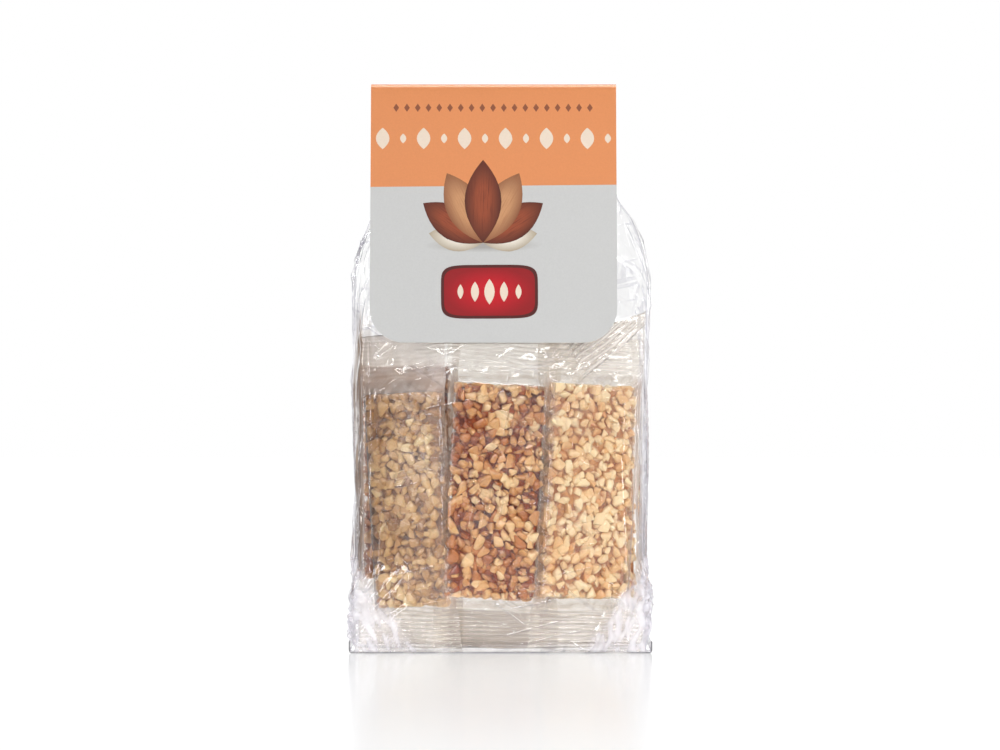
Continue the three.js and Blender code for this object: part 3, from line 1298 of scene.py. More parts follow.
    def build(self) -> Object:
        """Builds the wrapper as one closed film.

        Returns:
            The piece.
        """
        grid = self.grid()
        points, faces = grid_tube(self.form(grid))
        points = self.held_in(self.place.placed(points))
        film = film_tube(f"wrapper_{self.place.name}", points, faces, WRAP_FILM, self.shares(grid))
        return finish_piece(film, "clear_film")


# ---- The bag ----


@dataclass(frozen=True)
class BagStation:
    """The bag at one height: half its width over the side folds, half the width of its
    faces, and half its depth."""

    height: float
    side: float
    face: float
    depth: float


@dataclass(frozen=True)
class BagFilm:
    """The bag's clear film, lofted through its stations and creased where it folds."""

    stations: tuple[BagStation, ...] = (
        BagStation(0.4, 58.6, 57.6, 24.2),
        BagStation(20, 58.6, 54.8, 20.6),
        BagStation(60, 58.9, 54.0, 18.4),
        BagStation(112, 59.4, 54.4, 17.2),
        BagStation(146, 59.4, 53.6, 12.2),
        BagStation(160, 57.4, 52.0, 9.2),
        BagStation(172, 53.3, 49.4, 6.0),
        BagStation(183, 47.0, 46.4, 3.0),
        BagStation(198, 46.0, 45.8, 1.1),
        BagStation(224, 46.0, 45.8, 0.8),
    )
    edge_drop: float = 0.1  # how much less a face stands out at its folds
    fold_sharpness: float = 0.8
    gaps: tuple[float, ...] = (-20.4, 19.8)  # between the bars behind each face
    gap_span: tuple[float, float] = (21.0, 108.0)
    gap_depth: float = 0.6
    gap_width: float = 3.4
    gap_fade: float = 9.0
    face_steps: int = 150
    side_steps: int = 60
    step_height: float = 1.25
    crowding: float = 0.35  # how much closer a face's columns stand towards its folds
    side_reach: float = 40.0  # how far round each side runs, along its film
    softness: float = 0.7  # how far the film swells and sinks softly
    soft_cell: float = 22.0
    creased_up: tuple[float, float] = (0.5, 7.0)  # heights from none to all of the creases
    smooth_from: tuple[float, float] = (164.0, 184.0)  # and from all to none, under the card
    tuck_reach: float = 31.0  # from the middle to where a corner's triangle starts
    tuck_slope: float = 0.7  # how fast the triangle narrows upwards
    tuck_step: float = 0.5
    tuck_fade: float = 4.0
    tuck_waver: float = 2.0
    tuck_haze: float = 1.9
    tuck_streak: float = 1.9  # how wide the cloudy streaks along the triangle's side are
    tuck_cloud: tuple[float, float] = (0.6, 0.7)  # their middle strength and its swing
    fold_shade: float = 1.9  # how much painted shade dims the film by the left front fold, partly for its many plies and partly for the shaded bar behind
    shade_inset: float = 6.0  # of that stretch's middle from the fold
    shade_width: float = 7.0
    shade_streak: float = 1.3  # how wide the streaks in it are
    shade_cloud: tuple[float, float] = (0.65, 0.6)  # their middle strength and its swing
    shade_up: tuple[float, float] = (24.0, 44.0)  # heights from none to all of it
    shade_down: tuple[float, float] = (140.0, 120.0)

    @property
    def half_face(self) -> float:
        """Half the width of a face where the bag is fullest, as measured round the bag."""
        return self.stations[3].face

    def measure(self, key: str, heights: np.ndarray) -> np.ndarray:
        """Reads one of the stations' measures on a smooth curve that doesn't overshoot.

        Args:
            key: the measure's name.
            heights: where it is read.

        Returns:
            The measure at each height.
        """
        at = np.array([s.height for s in self.stations])
        values = np.array([getattr(s, key) for s in self.stations])
        rises = np.diff(values) / np.diff(at)
        below = np.concatenate([rises[:1], rises])
        above = np.concatenate([rises, rises[-1:]])
        same = below * above > 0
        slopes = np.where(same, 2 * below * above / np.where(same, below + above, 1), 0)
        i = np.clip(np.searchsorted(at, heights, side="right") - 1, 0, len(at) - 2)
        span = at[i + 1] - at[i]
        t = np.clip((heights - at[i]) / span, 0, 1)
        rise = values[i + 1] - values[i]
        start, end = slopes[i] * span, slopes[i + 1] * span
        return values[i] + t * (start + t * ((3 * rise - 2 * start - end) + t * (start + end - 2 * rise)))

    def face_depth(self, across: np.ndarray, height: np.ndarray) -> np.ndarray:
        """Gives how far a face stands out, which is less at its folds and between the bars.

        Args:
            across: places across the face.
            height: their heights.

        Returns:
            The distance from the bag's middle plane.
        """
        bottom, top = self.gap_span
        fade = self.gap_fade
        within = smooth_step(bottom - fade, bottom + fade, height)
        within = within - smooth_step(top - fade, top + fade, height)
        near = [np.exp(-(((across - gap) / self.gap_width) ** 2)) for gap in self.gaps]
        drawn_in = self.gap_depth * within * np.maximum(*near)
        fall = 1 - self.edge_drop * (across / self.measure("face", height)) ** 6
        return self.measure("depth", height) * fall - drawn_in

    def rings(self) -> tuple[np.ndarray, np.ndarray]:
        """Lofts the bag's plain form.

        Returns:
            The points as (rings, points in a ring, 3), and how far round the bag each
            point lies from the front's middle, in the same order.
        """
        low, high = self.stations[0].height, self.stations[-1].height
        count = int((high - low) / self.step_height) + 1
        height = np.linspace(low, high, count)[:, None]
        side, face, depth = (self.measure(k, height) for k in ("side", "face", "depth"))
        even = np.linspace(-1, 1, self.face_steps, endpoint=False)[None, :]
        sweep = even * (1 + self.crowding * (1 - even**2))
        turn = np.linspace(0, 1, self.side_steps, endpoint=False)[None, :]
        corner = depth * (1 - self.edge_drop)
        out = face + (side - face) * np.sin(math.pi * turn) ** self.fold_sharpness
        front, rear = face * sweep, -face * sweep
        front_y, rear_y = -self.face_depth(front, height), self.face_depth(rear, height)
        xs = np.concatenate([front, out, rear, -out], axis=1)
        ys = np.concatenate([front_y, corner * (2 * turn - 1), rear_y, corner * (1 - 2 * turn)], axis=1)
        zs = np.broadcast_to(height, xs.shape)
        half, reach = self.half_face, self.side_reach
        round_side = np.broadcast_to(turn * reach, out.shape)
        round_bag = np.concatenate(
            [front, half + round_side, 2 * half + reach - rear, 3 * half + reach + round_side], axis=1
        )
        return np.stack([xs, ys, zs], axis=-1), round_bag

    def tucked_corners(self, rings: np.ndarray) -> np.ndarray:
        """Tells where the side folds' triangles are tucked behind the film at the foot.

        Args:
            rings: the bag's points.

        Returns:
            A share from 0 to 1 at each point.
        """
        waver = self.tuck_waver * SmoothNoise(72, 7.0).at(*np.moveaxis(rings, -1, 0))
        line = self.tuck_reach + self.tuck_slope * rings[..., 2]
        return smooth_step(0, self.tuck_fade, np.abs(rings[..., 0]) + waver - line)

    def creases(self) -> list[CreaseSpread]:
        """Names the stretches of the film that are creased, measured round the bag.

        Returns:
            The creases' spreads.
        """
        half, reach = self.half_face, self.side_reach
        folds = (half, half + reach, 3 * half + reach, -half)
        sides = (half + reach / 2, 3 * half + 1.5 * reach)
        faces = (0.0, 2 * half + reach)
        upright = CreaseSpread(22, (-7, 7), (4, 150), (87, 93), (24, 90), (0.5, 1.4), (0.2, 0.85), 300)
        gusset = CreaseSpread(16, (-12, 12), (4, 165), (78, 102), (18, 70), (1.2, 3.0), (0.3, 1.0), 310)
        shoulder = CreaseSpread(20, (-14, 14), (112, 172), (98, 140), (14, 40), (1.2, 3.2), (0.4, 1.3), 320)
        crumpled = CreaseSpread(40, (-18, 18), (3, 34), (0, 180), (6, 20), (0.7, 2.2), (0.2, 0.8), 360)
        foot = CreaseSpread(16, (-14, 14), (4, 28), (115, 150), (14, 42), (1.4, 4.0), (0.7, 2.2), 330)
        top = CreaseSpread(70, (-50, 50), (104, 134), (-45, 45), (10, 36), (1.1, 2.6), (0.3, 1.1), 340)
        face = CreaseSpread(18, (-48, 48), (8, 104), (60, 120), (14, 50), (1.4, 3.4), (0.1, 0.4), 350)
        return [
            *upright.repeated(folds),
            *gusset.repeated(sides),
            *shoulder.repeated(folds, mirrored=True),
            *crumpled.repeated(folds),
            *foot.repeated(folds, mirrored=True),
            *top.repeated(faces),
            *face.repeated(faces),
        ]

    def build(self) -> Object:
        """Builds the bag's film as one closed skin.

        Returns:
            The piece, which stands for the CAD bag.
        """
        rings, round_bag = self.rings()
        x, y, height = np.moveaxis(rings, -1, 0)
        around = np.roll(rings, -1, axis=1) - np.roll(rings, 1, axis=1)
        normal = np.cross(around, np.gradient(rings, axis=0))
        normal /= np.maximum(np.linalg.norm(normal, axis=-1, keepdims=True), 1e-9)
        whole = 4 * self.half_face + 2 * self.side_reach
        relief = np.zeros(height.shape)
        for spread in self.creases():
            for turn in (-whole, 0, whole):
                relief += spread.relief(round_bag + turn, height)
        tucked = self.tucked_corners(rings)
        relief += self.softness * SmoothNoise(71, self.soft_cell).at(x, y, height) + self.tuck_step * tucked
        relief *= smooth_step(*self.creased_up, height) * (1 - smooth_step(*self.smooth_from, height))
        aside, down = np.abs(x) - self.tuck_slope * height, (np.abs(x) + height) / 9 + x
        even, swing = self.tuck_cloud
        cloudy = even + swing * SmoothNoise(73, self.tuck_streak).at(aside, down, y / 4)
        # Painted shade: darkens what is seen through the film beside its left front fold.
        even, swing = self.shade_cloud
        lined = even + swing * SmoothNoise(74, self.shade_streak).at(round_bag, height / 14)
        left_fold = whole - self.half_face - self.shade_inset
        near_fold = np.exp(-((((round_bag % whole) - left_fold) / self.shade_width) ** 2))
        shaded = self.fold_shade * np.clip(lined, 0, 1) * near_fold
        shaded *= smooth_step(*self.shade_up, height) * smooth_step(*self.shade_down, height)
        sealed = self.tuck_haze * tucked * np.clip(cloudy, 0.1, 1)
        points, faces = grid_tube(rings + normal * relief[..., None])
        film = film_tube(
            "bag_film", points, faces, BAG_FILM, {"sealed": (sealed, 0.0), "shaded": (shaded, 0.0)}
        )
        return finish_piece(film, "clear_film", "bag")


@dataclass(frozen=True)
class FoldedHem:
    """The bag's flat base, whose folded edge stands out and turns up at both ends."""

    width: float
    depth: float
    lip_height: float = 4.8
    lip_radius: float = 1.2
    thickness: float = 0.3
    hem_thickness: float = 0.6
    hem_width: float = 0.9
    steps: tuple[int, int] = (120, 80)  # across the base and from front to back

    def build(self) -> Object:
        """Builds the base as one thin closed sheet.

        Returns:
            The piece.
        """
        half_depth = self.depth / 2
        flat = self.width / 2 - self.lip_radius
        bend = self.lip_radius * math.pi / 2
        reach = flat + bend + self.lip_height - self.lip_radius
        run = np.linspace(-reach, reach, self.steps[0] + 1)
        angle = np.clip(np.abs(run) - flat, 0, bend) / self.lip_radius
        upright = np.clip(np.abs(run) - flat - bend, 0, None)
        x = np.sign(run) * (np.minimum(np.abs(run), flat) + self.lip_radius * np.sin(angle))
        z = self.lip_radius * (1 - np.cos(angle)) + upright
        out_x, out_z = np.sign(run) * np.sin(angle), -np.cos(angle)
        y = np.linspace(-half_depth, half_depth, self.steps[1] + 1)
        hem = smooth_step(half_depth - 2 * self.hem_width, half_depth - self.hem_width, np.abs(y))
        thick = self.thickness + (self.hem_thickness - self.thickness) * hem
        grid = (len(run), len(y))
        outer = np.stack([np.broadcast_to(a, grid) for a in (x[:, None], y[None, :], z[:, None])], axis=-1)
        inner = outer.copy()
        inner[..., 0] -= out_x[:, None] * thick[None, :]
        inner[..., 2] -= out_z[:, None] * thick[None, :]
        count = len(run) * len(y)
        index = np.arange(count).reshape(grid)
        quads = np.stack([index[:-1, :-1], index[:-1, 1:], index[1:, 1:], index[1:, :-1]], axis=-1)
        quads = quads.reshape(-1, 4)
        border = np.concatenate([index[:, 0], index[-1, 1:], index[-2::-1, -1], index[0, -2:0:-1]])
        after = np.roll(border, -1)
        rim = np.stack([border, after, after + count, border + count], axis=-1)
        faces = [*quads.tolist(), *(quads[:, ::-1] + count).tolist(), *rim.tolist()]
        points = np.concatenate([outer.reshape(-1, 3), inner.reshape(-1, 3)])
        base = mesh_object("bag_base_hem", points, faces, [BASE_FILM, HEM_FILM], sharp_degrees=40)
        middles = np.array([points[face].mean(axis=0) for face in faces])
        folded = np.abs(middles[:, 1]) > half_depth - self.hem_width
        base.data.polygons.foreach_set("material_index", folded.astype(int))
        return finish_piece(base, "clear_film", "bag")


# ---- The header card ----


class Outline(Enum):
    """A motif's outline, as the powers that bend a circle's cosine and sine into it."""

    OVAL = (1.0, 1.0)
    LOZENGE = (2.0, 2.0)
    ALMOND = (1.0, 2.0)
    PLAQUE = (0.36, 0.36)
    BLOCK = (0.12, 0.12)


class Ink(Enum):
    """The card's inks, with the finish of each."""

    FIELD = PrintedCard("ink_pale_grey", ink="#bdbdbc")
    BAND = PrintedCard("ink_orange", ink="#d38653")
    BROWN = PrintedCard("ink_brown", ink="#854b32")
    CREAM = PrintedCard("ink_cream", ink="#dccbb9")
    SHELL = PrintedCard(
        "ink_shell_tan", ink="#bd8a60", rim="#7d4a2e", strokes=0.45, stroke_colour="#9a6240"
    )
    SKIN = PrintedCard("ink_skin_brown", ink="#8c4123", rim="#45180b", strokes=0.7)
    KERNEL = PrintedCard("ink_kernel_white", ink="#d9d2c5", rim="#a3947e")
    SHADE = PrintedCard("ink_soft_shade", ink="#9f9c99", rim="#bdbdbc")
    RIM = PrintedCard("ink_dark_red", ink="#4a1512")
    RED = PrintedCard("ink_red", ink="#b80018", rim="#8a0610")
    STOCK = PrintedCard("bare_white_board", ink="#d8d7d4")


@dataclass(frozen=True)
class Motif:
    """One printed shape: its ink and outline, its middle and half sizes in millimetres on
    the flat card, and how far it is turned."""

    ink: Ink
    outline: Outline
    across: float
    up: float
    half_length: float
    half_width: float
    turn: float = 0.0
    points: int = 28

    @property
    def along(self) -> tuple[float, float]:
        """The direction of the motif's length on the flat card."""
        return math.cos(math.radians(self.turn)), math.sin(math.radians(self.turn))

    def local(self, flat: np.ndarray) -> np.ndarray:
        """Gives flat points in the motif's frame, where its outline reaches 1 each way.

        Args:
            flat: points on the flat card.

        Returns:
            The points along and across the motif.
        """
        c, s = self.along
        offset = flat - (self.across, self.up)
        return np.stack([offset @ (c, s) / self.half_length, offset @ (-s, c) / self.half_width], axis=-1)

    def holds(self, flat: np.ndarray) -> np.ndarray:
        """Tells which flat points lie in the motif.

        Args:
            flat: points on the flat card.

        Returns:
            True for each point in the motif.
        """
        p, q = self.outline.value
        u, v = np.abs(np.moveaxis(self.local(flat), -1, 0))
        return u ** (2 / p) + v ** (2 / q) <= 1

    def border(self) -> np.ndarray:
        """Traces the motif's outline.

        Returns:
            Its points on the flat card.
        """
        p, q = self.outline.value
        angle = 2 * math.pi * np.arange(self.points) / self.points
        around, beside = np.cos(angle), np.sin(angle)
        u = self.half_length * np.sign(around) * np.abs(around) ** p
        v = self.half_width * np.sign(beside) * np.abs(beside) ** q
        c, s = self.along
        return np.stack([self.across + u * c - v * s, self.up + u * s + v * c], axis=-1)


@dataclass(frozen=True)
class MotifRow:
    """A level row of upright motifs, evenly spaced."""

    ink: Ink
    outline: Outline
    count: int
    start: float  # the first one's place across
    length: float  # from the first to the last
    drop: float  # below the fold
    halves: tuple[tuple[float, float], ...]  # half heights and half widths, used in turn
    points: int

    def motifs(self, fold: float, turn: float) -> list[Motif]:
        """Gives the row's motifs.

        Args:
            fold: the fold's place up the flat card.
            turn: how far the motifs are turned off upright.

        Returns:
            The motifs, from the left.
        """
        found = []
        for i in range(self.count):
            across = self.start + self.length * i / (self.count - 1)
            half_height, half_width = self.halves[i % len(self.halves)]
            found.append(
                Motif(
                    self.ink, self.outline, across, fold - self.drop, half_height, half_width,
                    90 + turn, self.points,
                )
            )
        return found


@dataclass(frozen=True)
class HeaderCard:
    """The printed card that is folded over the top of the bag."""

    left: float
    right: float
    bottom: float
    top: float
    half_depth: float
    thickness: float = 0.4
    fold_radius: float = 1.6
    bow: float = 1.15
    corner_radius: float = 14.0
    corner_steps: int = 12
    profile_steps: tuple[int, int] = (400, 24)  # up a leaf and over the fold
    grid_step: tuple[float, float] = (6.0, 5.0)  # between vertices across and up the card
    fold_reach: float = 4.0  # on each side of the fold, where they stand closer
    fold_levels: int = 21
    print_turn: float = 0.35  # the print sits this many degrees off square
    band_height: float = 42.7  # of the orange band, from the fold down
    lozenges: MotifRow = MotifRow(Ink.BROWN, Outline.LOZENGE, 19, -42.0, 78.0, 10.6, ((1.7, 1.15),), 4)
    ovals: MotifRow = MotifRow(
        Ink.CREAM, Outline.ALMOND, 12, -47.4, 90.6, 23.2, ((4.4, 2.728), (2.0, 1.24)), 24
    )
    fan_foot: tuple[float, float] = (-7.0, 66.0)  # across, and below the fold
    petals: tuple[tuple[Ink, float, float, float], ...] = (  # ink, lean, length, half width
        (Ink.KERNEL, 80, 22.0, 5.4),
        (Ink.KERNEL, -80, 22.0, 5.4),
        (Ink.SKIN, 56, 29.0, 6.8),
        (Ink.SKIN, -56, 29.0, 6.8),
        (Ink.SHELL, 27, 32.0, 7.4),
        (Ink.SHELL, -27, 32.0, 7.4),
        (Ink.SKIN, 0, 34.0, 7.4),
    )
    fan_shade: tuple[float, float, float] = (1.0, 24.0, 3.0)  # below the foot, and half sizes
    plaque_middle: tuple[float, float] = (-4.4, 86.0)  # across, and below the fold
    plaque_half: tuple[float, float] = (18.2, 9.8)
    plaque_rim: float = 1.2
    plaque_ovals: MotifRow = MotifRow(
        Ink.CREAM, Outline.ALMOND, 5, -16.0, 23.2, 86.0,
        ((3.0, 1.2), (4.1, 1.64), (5.2, 2.08), (4.1, 1.64), (3.0, 1.2)), 20,
    )
    back_panel: tuple[float, float, float] = (78.0, 34.0, 16.0)  # past the fold, and half sizes

    MOTIF_MAP = "motif"

    def profile(self) -> tuple[np.ndarray, np.ndarray]:
        """Traces the card's outer face from its front edge over the fold to its back edge.

        Returns:
            The places along the flat card, and the depth and height at each.
        """
        leaf_steps, fold_steps = self.profile_steps
        centre = self.top - self.fold_radius
        height = np.linspace(self.bottom, centre, leaf_steps)
        down = (centre - height) / (centre - self.bottom)
        depth = self.fold_radius + (self.half_depth - self.fold_radius) * down**self.bow
        angle = np.linspace(math.pi, 0, fold_steps)[1:-1]
        y = np.concatenate([-depth, self.fold_radius * np.cos(angle), depth[::-1]])
        z = np.concatenate([height, centre + self.fold_radius * np.sin(angle), height[::-1]])
        along = np.concatenate([[0], np.cumsum(np.hypot(np.diff(y), np.diff(z)))])
        return along, np.stack([y, z], axis=-1)

    def motifs(self, length: float) -> list[Motif]:
        """Lists the card's printed shapes, the lowest layer first.

        Args:
            length: the flat card's whole length.

        Returns:
            The motifs.
        """
        fold, centre, turn = length / 2, (self.left + self.right) / 2, self.print_turn
        width = self.right - self.left
        found = [Motif(Ink.BAND, Outline.BLOCK, centre, fold, width, self.band_height, turn, 64)]
        found += self.lozenges.motifs(fold, turn) + self.ovals.motifs(fold, turn)
        foot, foot_drop = self.fan_foot
        drop, *halves = self.fan_shade
        found.append(Motif(Ink.SHADE, Outline.OVAL, foot, fold - (foot_drop + drop), *halves, turn, 40))
        for ink, lean, size, half_width in self.petals:
            angle = math.radians(90 + lean)
            across = foot + size / 2 * math.cos(angle)
            up = fold - foot_drop + size / 2 * math.sin(angle)
            found.append(Motif(ink, Outline.ALMOND, across, up, size / 2, half_width, 90 + lean, 32))
        across, drop = self.plaque_middle
        half_length, half_width = self.plaque_half
        for ink, rim in ((Ink.RIM, self.plaque_rim), (Ink.RED, 0.0)):
            halves = (half_length + rim, half_width + rim)
            found.append(Motif(ink, Outline.PLAQUE, across, fold - drop, *halves, turn, 48))
        found += self.plaque_ovals.motifs(fold, 0.0)
        rise, *halves = self.back_panel
        found.append(Motif(Ink.STOCK, Outline.PLAQUE, centre, fold + rise, *halves, 0.0, 48))
        return found

    def levels(self, length: float) -> np.ndarray:
        """Gives the places up the flat card that have vertices, closer over the fold.

        Args:
            length: the flat card's whole length.

        Returns:
            The places, from the front edge on.
        """
        fold = length / 2 + np.linspace(-self.fold_reach, self.fold_reach, self.fold_levels)
        return np.unique(np.concatenate([np.arange(3, length, self.grid_step[1]), fold]))

    def sheet_outline(self, length: float) -> np.ndarray:
        """Traces the flat card, with its four corners rounded.

        Args:
            length: the flat card's whole length.

        Returns:
            The outline's points, anticlockwise.
        """
        r = self.corner_radius
        low_x, high_x, high_y = self.left + r, self.right - r, length - r
        corners = ((high_x, high_y, 0), (low_x, high_y, 90), (low_x, r, 180), (high_x, r, 270))
        sides = [up for up in self.levels(length) if r < up < high_y]
        points = []
        for x, y, start in corners:
            for step in range(self.corner_steps + 1):
                angle = math.radians(start + 90 / self.corner_steps * step)
                points.append((x + r * math.cos(angle), y + r * math.sin(angle)))
            if start == 90:
                points += [(self.left, up) for up in sides[::-1]]
        return np.array(points + [(self.right, up) for up in sides])

    def inside_sheet(self, flat: np.ndarray, length: float, gap: float) -> np.ndarray:
        """Tells which flat points lie in the card, by at least a gap.

        Args:
            flat: points on the flat card.
            length: the flat card's whole length.
            gap: how far from the card's edge they lie at least.

        Returns:
            True for each point that does.
        """
        r = self.corner_radius
        over_x = np.maximum(self.left + r - flat[:, 0], flat[:, 0] - (self.right - r))
        over_y = np.maximum(r - flat[:, 1], flat[:, 1] - (length - r))
        return np.hypot(np.maximum(over_x, 0), np.maximum(over_y, 0)) <= r - gap

    def build(self) -> Object:
        """Prints, cuts and folds the card.

        Returns:
            The piece, which stands for the CAD card.
        """
        along, folded = self.profile()
        length = along[-1]
        motifs = self.motifs(length)
        outline = self.sheet_outline(length)
        points, edges, used = [outline], [], len(outline)
        for motif in motifs:
            border = motif.border()
            edges += [(used + i, used + (i + 1) % len(border)) for i in range(len(border))]
            points.append(border)
            used += len(border)
        xs = np.arange(self.left + 3.0, self.right - 2, self.grid_step[0])
        grid = np.array([(x, y) for y in self.levels(length) for x in xs])
        flat_in = np.concatenate([*points, grid[self.inside_sheet(grid, length, 0.5)]])
        flat_in[:, 0] = np.clip(flat_in[:, 0], self.left, self.right)
        sheet = [list(range(len(outline)))]
        result = delaunay_2d_cdt([tuple(p) for p in flat_in], edges, sheet, 1, 1e-4)
        flat = np.array([tuple(v) for v in result[0]])
        return self.fold_up(flat, [list(f) for f in result[2]], along, folded, motifs)

    def fold_up(
        self,
        flat: np.ndarray,
        triangles: list[list[int]],
        along: np.ndarray,
        folded: np.ndarray,
        motifs: list[Motif],
    ) -> Object:
        """Folds the flat printed sheet and gives it its thickness.

        Args:
            flat: the sheet's flat vertices.
            triangles: its triangles.
            along: places along the card's profile.
            folded: the depth and height at each of them.
            motifs: the printed shapes.

        Returns:
            The folded card.
        """
        step = 0.2  # along the profile, to find which way it runs
        ahead = np.clip(flat[:, 1] + step, 0, along[-1])
        behind = np.clip(flat[:, 1] - step, 0, along[-1])
        (y, z), (y1, z1), (y0, z0) = (
            [np.interp(up, along, folded[:, i]) for i in (0, 1)] for up in (flat[:, 1], ahead, behind)
        )
        size = np.hypot(y1 - y0, z1 - z0)
        outer = np.stack([flat[:, 0], y, z], axis=-1)
        inward = np.stack([np.zeros(len(flat)), (z1 - z0) / size, -(y1 - y0) / size], axis=-1)
        inner = outer + self.thickness * inward
        count = len(flat)
        shapes = np.array(triangles)
        sides = np.concatenate([shapes[:, [0, 1]], shapes[:, [1, 2]], shapes[:, [2, 0]]])
        pairs = {tuple(side) for side in sides.tolist()}
        open_sides = [(a, b) for a, b in pairs if (b, a) not in pairs]
        rim = [[b, a, a + count, b + count] for a, b in sorted(open_sides)]
        faces = triangles + [[a + count for a in f[::-1]] for f in triangles] + rim
        inks = list(Ink)
        finishes = [ink.value for ink in inks]
        points = np.concatenate([outer, inner])
        card = mesh_object("header_card_sheet", points, faces, finishes, sharp_degrees=45)
        middles = flat[shapes].mean(axis=1)
        ink_of = np.full(len(shapes), inks.index(Ink.FIELD))
        motif_of = np.full(len(shapes), -1)
        for i, motif in enumerate(motifs):
            held = motif.holds(middles)
            ink_of[held] = inks.index(motif.ink)
            motif_of[held] = i
        stock = np.full(len(faces) - len(shapes), inks.index(Ink.STOCK))
        card.data.polygons.foreach_set("material_index", np.concatenate([ink_of, stock]))
        layer = card.data.uv_layers.new(name=self.MOTIF_MAP)
        for polygon in card.data.polygons[: len(shapes)]:
            held_by = motif_of[polygon.index]
            if held_by >= 0:
                corners = flat[list(polygon.vertices)]
                for loop, uv in zip(polygon.loop_indices, motifs[held_by].local(corners)):
                    layer.uv[loop].vector = uv
        return finish_piece(card, "printed_card", "header_card")


# ---- The studio ----


@dataclass(frozen=True)
class Softbox:
    """An even panel of light: its middle, what it faces, its sizes in metres and how
    bright its face is beside a white of 1."""

    name: str
    middle: tuple[float, float, float]
    size: tuple[float, float]
    radiance: float
    lights: bool = True  # whether it lights matt surfaces
    shows: bool = True  # whether it is mirrored

    def build(self, aim: tuple[float, float, float]) -> Object:
        """Hangs the light.

        Args:
            aim: the point that it faces.

        Returns:
            The light.
        """
        light = bpy.data.lights.new(self.name, "AREA")
        light.shape = "RECTANGLE"
        light.size, light.size_y = self.size
        light.energy = self.radiance * math.pi * self.size[0] * self.size[1]
        hung = bpy.data.objects.new(self.name, light)
        hung.location = self.middle
        x, y, z = np.array(aim) - np.array(self.middle)
        hung.rotation_euler = (math.atan2(math.hypot(x, y), -z), 0, math.atan2(y, x) - math.pi / 2)
        hung.visible_camera = False
        hung.visible_diffuse = self.lights
        hung.visible_glossy = self.shows
        bpy.context.scene.collection.objects.link(hung)
        return hung


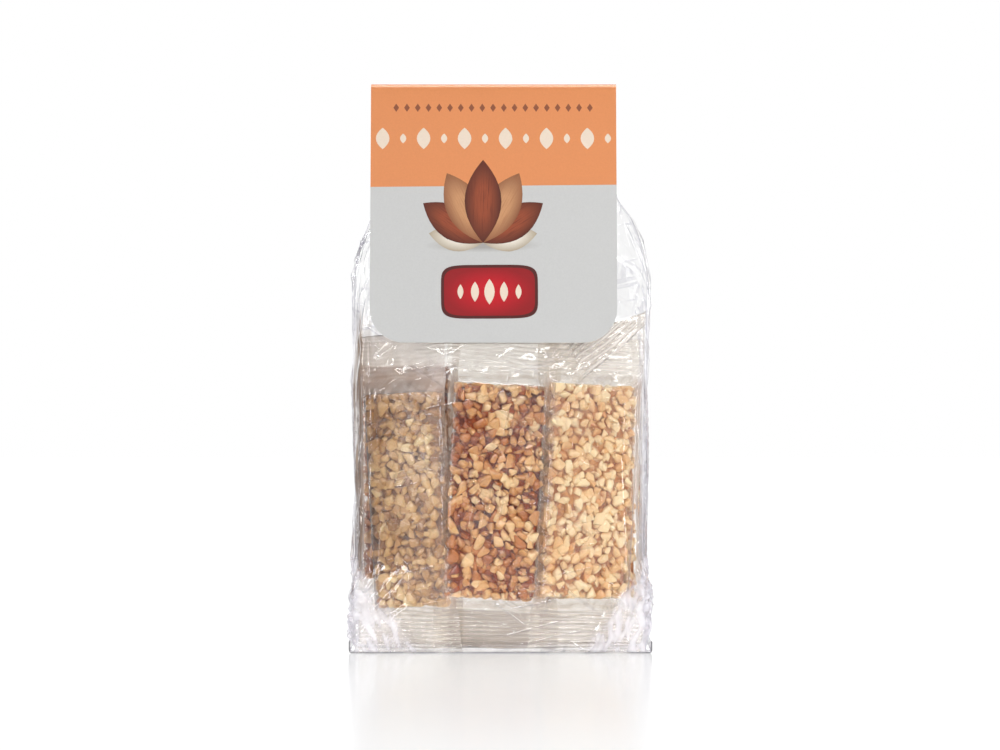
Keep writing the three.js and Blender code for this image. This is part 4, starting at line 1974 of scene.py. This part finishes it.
@dataclass(frozen=True)
class Studio:
    """The white table, the lights round it and the camera."""

    camera_distance: float = 1362.0  # from the bag's middle
    camera_height: float = 110.3
    camera_across: float = -0.2
    sharp_plane: float = -12.0  # where one pixel is mm_per_pixel
    mm_per_pixel: float = 0.4
    image_width: int = 1000
    sensor_mm: float = 36.0
    table_size: float = 6.2
    wall_size: tuple[float, float] = (7.0, 5.0)
    wall_height: float = 1.2  # of the walls' middles
    aim: tuple[float, float, float] = (0.0, 0.0, 0.11)  # what the softboxes face
    room_light: float = 0.34
    mirrored_behind: float = 0.85  # the room's brightness in a mirror, behind the bag
    mirrored_ahead: float = 0.15  # and behind the camera, where the room is dark
    most_skins: int = 32  # of film, one behind another
    softboxes: tuple[Softbox, ...] = (
        Softbox("key_right", (0.62, -0.75, 0.6), (0.42, 0.48), 9.6, shows=False),
        Softbox("fill_left", (-0.95, -1.15, 0.35), (0.7, 0.7), 2.4, shows=False),
        Softbox("softbox_upper_left", (-0.9, -0.85, 1.05), (0.7, 0.7), 8.0, lights=False),
        Softbox("softbox_left", (-1.4, -1.05, 0.45), (0.7, 1.2), 3.0, lights=False),
        Softbox("strip_left", (-1.35, -0.35, 0.35), (0.2, 1.1), 18.0, lights=False),
        Softbox("strip_right", (1.3, -0.5, 0.35), (0.2, 1.1), 18.0, lights=False),
        Softbox("softbox_top", (0.0, -0.35, 1.5), (1.2, 0.8), 3.2, shows=False),
        Softbox("strip_top", (0.0, -0.9, 1.25), (1.6, 0.35), 14.0, lights=False),
        Softbox("strip_high", (0.0, -0.2, 1.6), (1.6, 0.4), 14.0, lights=False),
    )

    def camera(self) -> Object:
        """Sets up the camera, level and square to the bag's front.

        Returns:
            The camera.
        """
        lens = bpy.data.cameras.new("camera")
        reach = self.camera_distance + self.sharp_plane
        lens.sensor_width = self.sensor_mm
        lens.lens = self.sensor_mm * reach / (self.mm_per_pixel * self.image_width)
        lens.clip_end = 50
        camera = bpy.data.objects.new("camera", lens)
        camera.location = (self.camera_across * MM, -self.camera_distance * MM, self.camera_height * MM)
        camera.rotation_euler = (math.pi / 2, 0, 0)
        bpy.context.scene.collection.objects.link(camera)
        bpy.context.scene.camera = camera
        return camera

    def room(self) -> World:
        """Makes the room: white to the camera, softer as light and dim in mirrors.

        Returns:
            The room.
        """
        world = bpy.data.worlds.new("white_room")
        world.use_nodes = True
        tree = world.node_tree
        tree.nodes.clear()
        ray = add_node(tree, "LightPath")
        towards = add_node(tree, "SeparateXYZ", links={0: add_node(tree, "TexCoord").outputs["Generated"]})
        dim, bright = self.mirrored_ahead, self.mirrored_behind
        mirrored = add_node(
            tree, "MapRange",
            {"From Min": -1.0, "From Max": 0.0, "To Min": dim, "To Max": bright},
            {"Value": towards.outputs["Y"]},
        )
        lit = add_node(tree, "Mix", {2: self.room_light}, {0: ray.outputs["Is Glossy Ray"], 3: mirrored})
        seen = add_node(tree, "Mix", {3: 1.0}, {0: ray.outputs["Is Camera Ray"], 2: lit})
        white = add_node(tree, "Background", {"Color": (1.0, 1.0, 1.0, 1.0)}, {"Strength": seen})
        add_node(tree, "OutputWorld", links={"Surface": white})
        bpy.context.scene.world = world
        return world

    def table(self) -> Object:
        """Lays the table, with bright walls and a ceiling round it.

        All but the wall behind the bag are mirrored by the table alone.

        Returns:
            The table.
        """
        half = self.table_size / 2 / MM
        corners = np.array([(-half, -half, 0), (half, -half, 0), (half, half, 0), (-half, half, 0)])
        table = mesh_object("table", corners, [[0, 1, 2, 3]], [TABLE])
        only_table = bpy.data.collections.new("mirrors_walls")
        only_table.objects.link(table)
        reach, up = self.table_size / 2 + 0.1, self.wall_height
        for i, (x, y, z) in enumerate(((0, 1, 0), (1, 0, 0), (0, -1, 0), (-1, 0, 0), (0, 0, 1))):
            middle = (x * reach, y * reach, up + z * reach)
            light = Softbox(f"wall_{i}", middle, self.wall_size, 1.0, lights=False).build((0.0, 0.0, up))
            if i > 0:
                light.light_linking.receiver_collection = only_table
        return table

    def build(self) -> None:
        """Builds the whole studio and sets how the picture is taken."""
        self.camera()
        self.room()
        self.table()
        for softbox in self.softboxes:
            softbox.build(self.aim)
        scene = bpy.context.scene
        scene.view_settings.view_transform = "Standard"
        scene.cycles.transparent_max_bounces = self.most_skins


def main() -> None:
    """Builds the bars, the bag round them and the card over it, then the studio."""
    logging.basicConfig(level=logging.INFO, format="%(message)s")
    for place in BAR_PLACES:
        bar = BrittleBar(place)
        bar.caramel()
        bar.nuts()
        FlowWrap(place).build()
    BagFilm().build()
    low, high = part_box("bag")
    FoldedHem(width=(high.x - low.x) / MM, depth=(high.y - low.y) / MM).build()
    low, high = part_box("header_card")
    HeaderCard(
        left=low.x / MM, right=high.x / MM, bottom=low.z / MM, top=high.z / MM, half_depth=high.y / MM
    ).build()
    Studio().build()


if __name__ == "__main__":
    main()
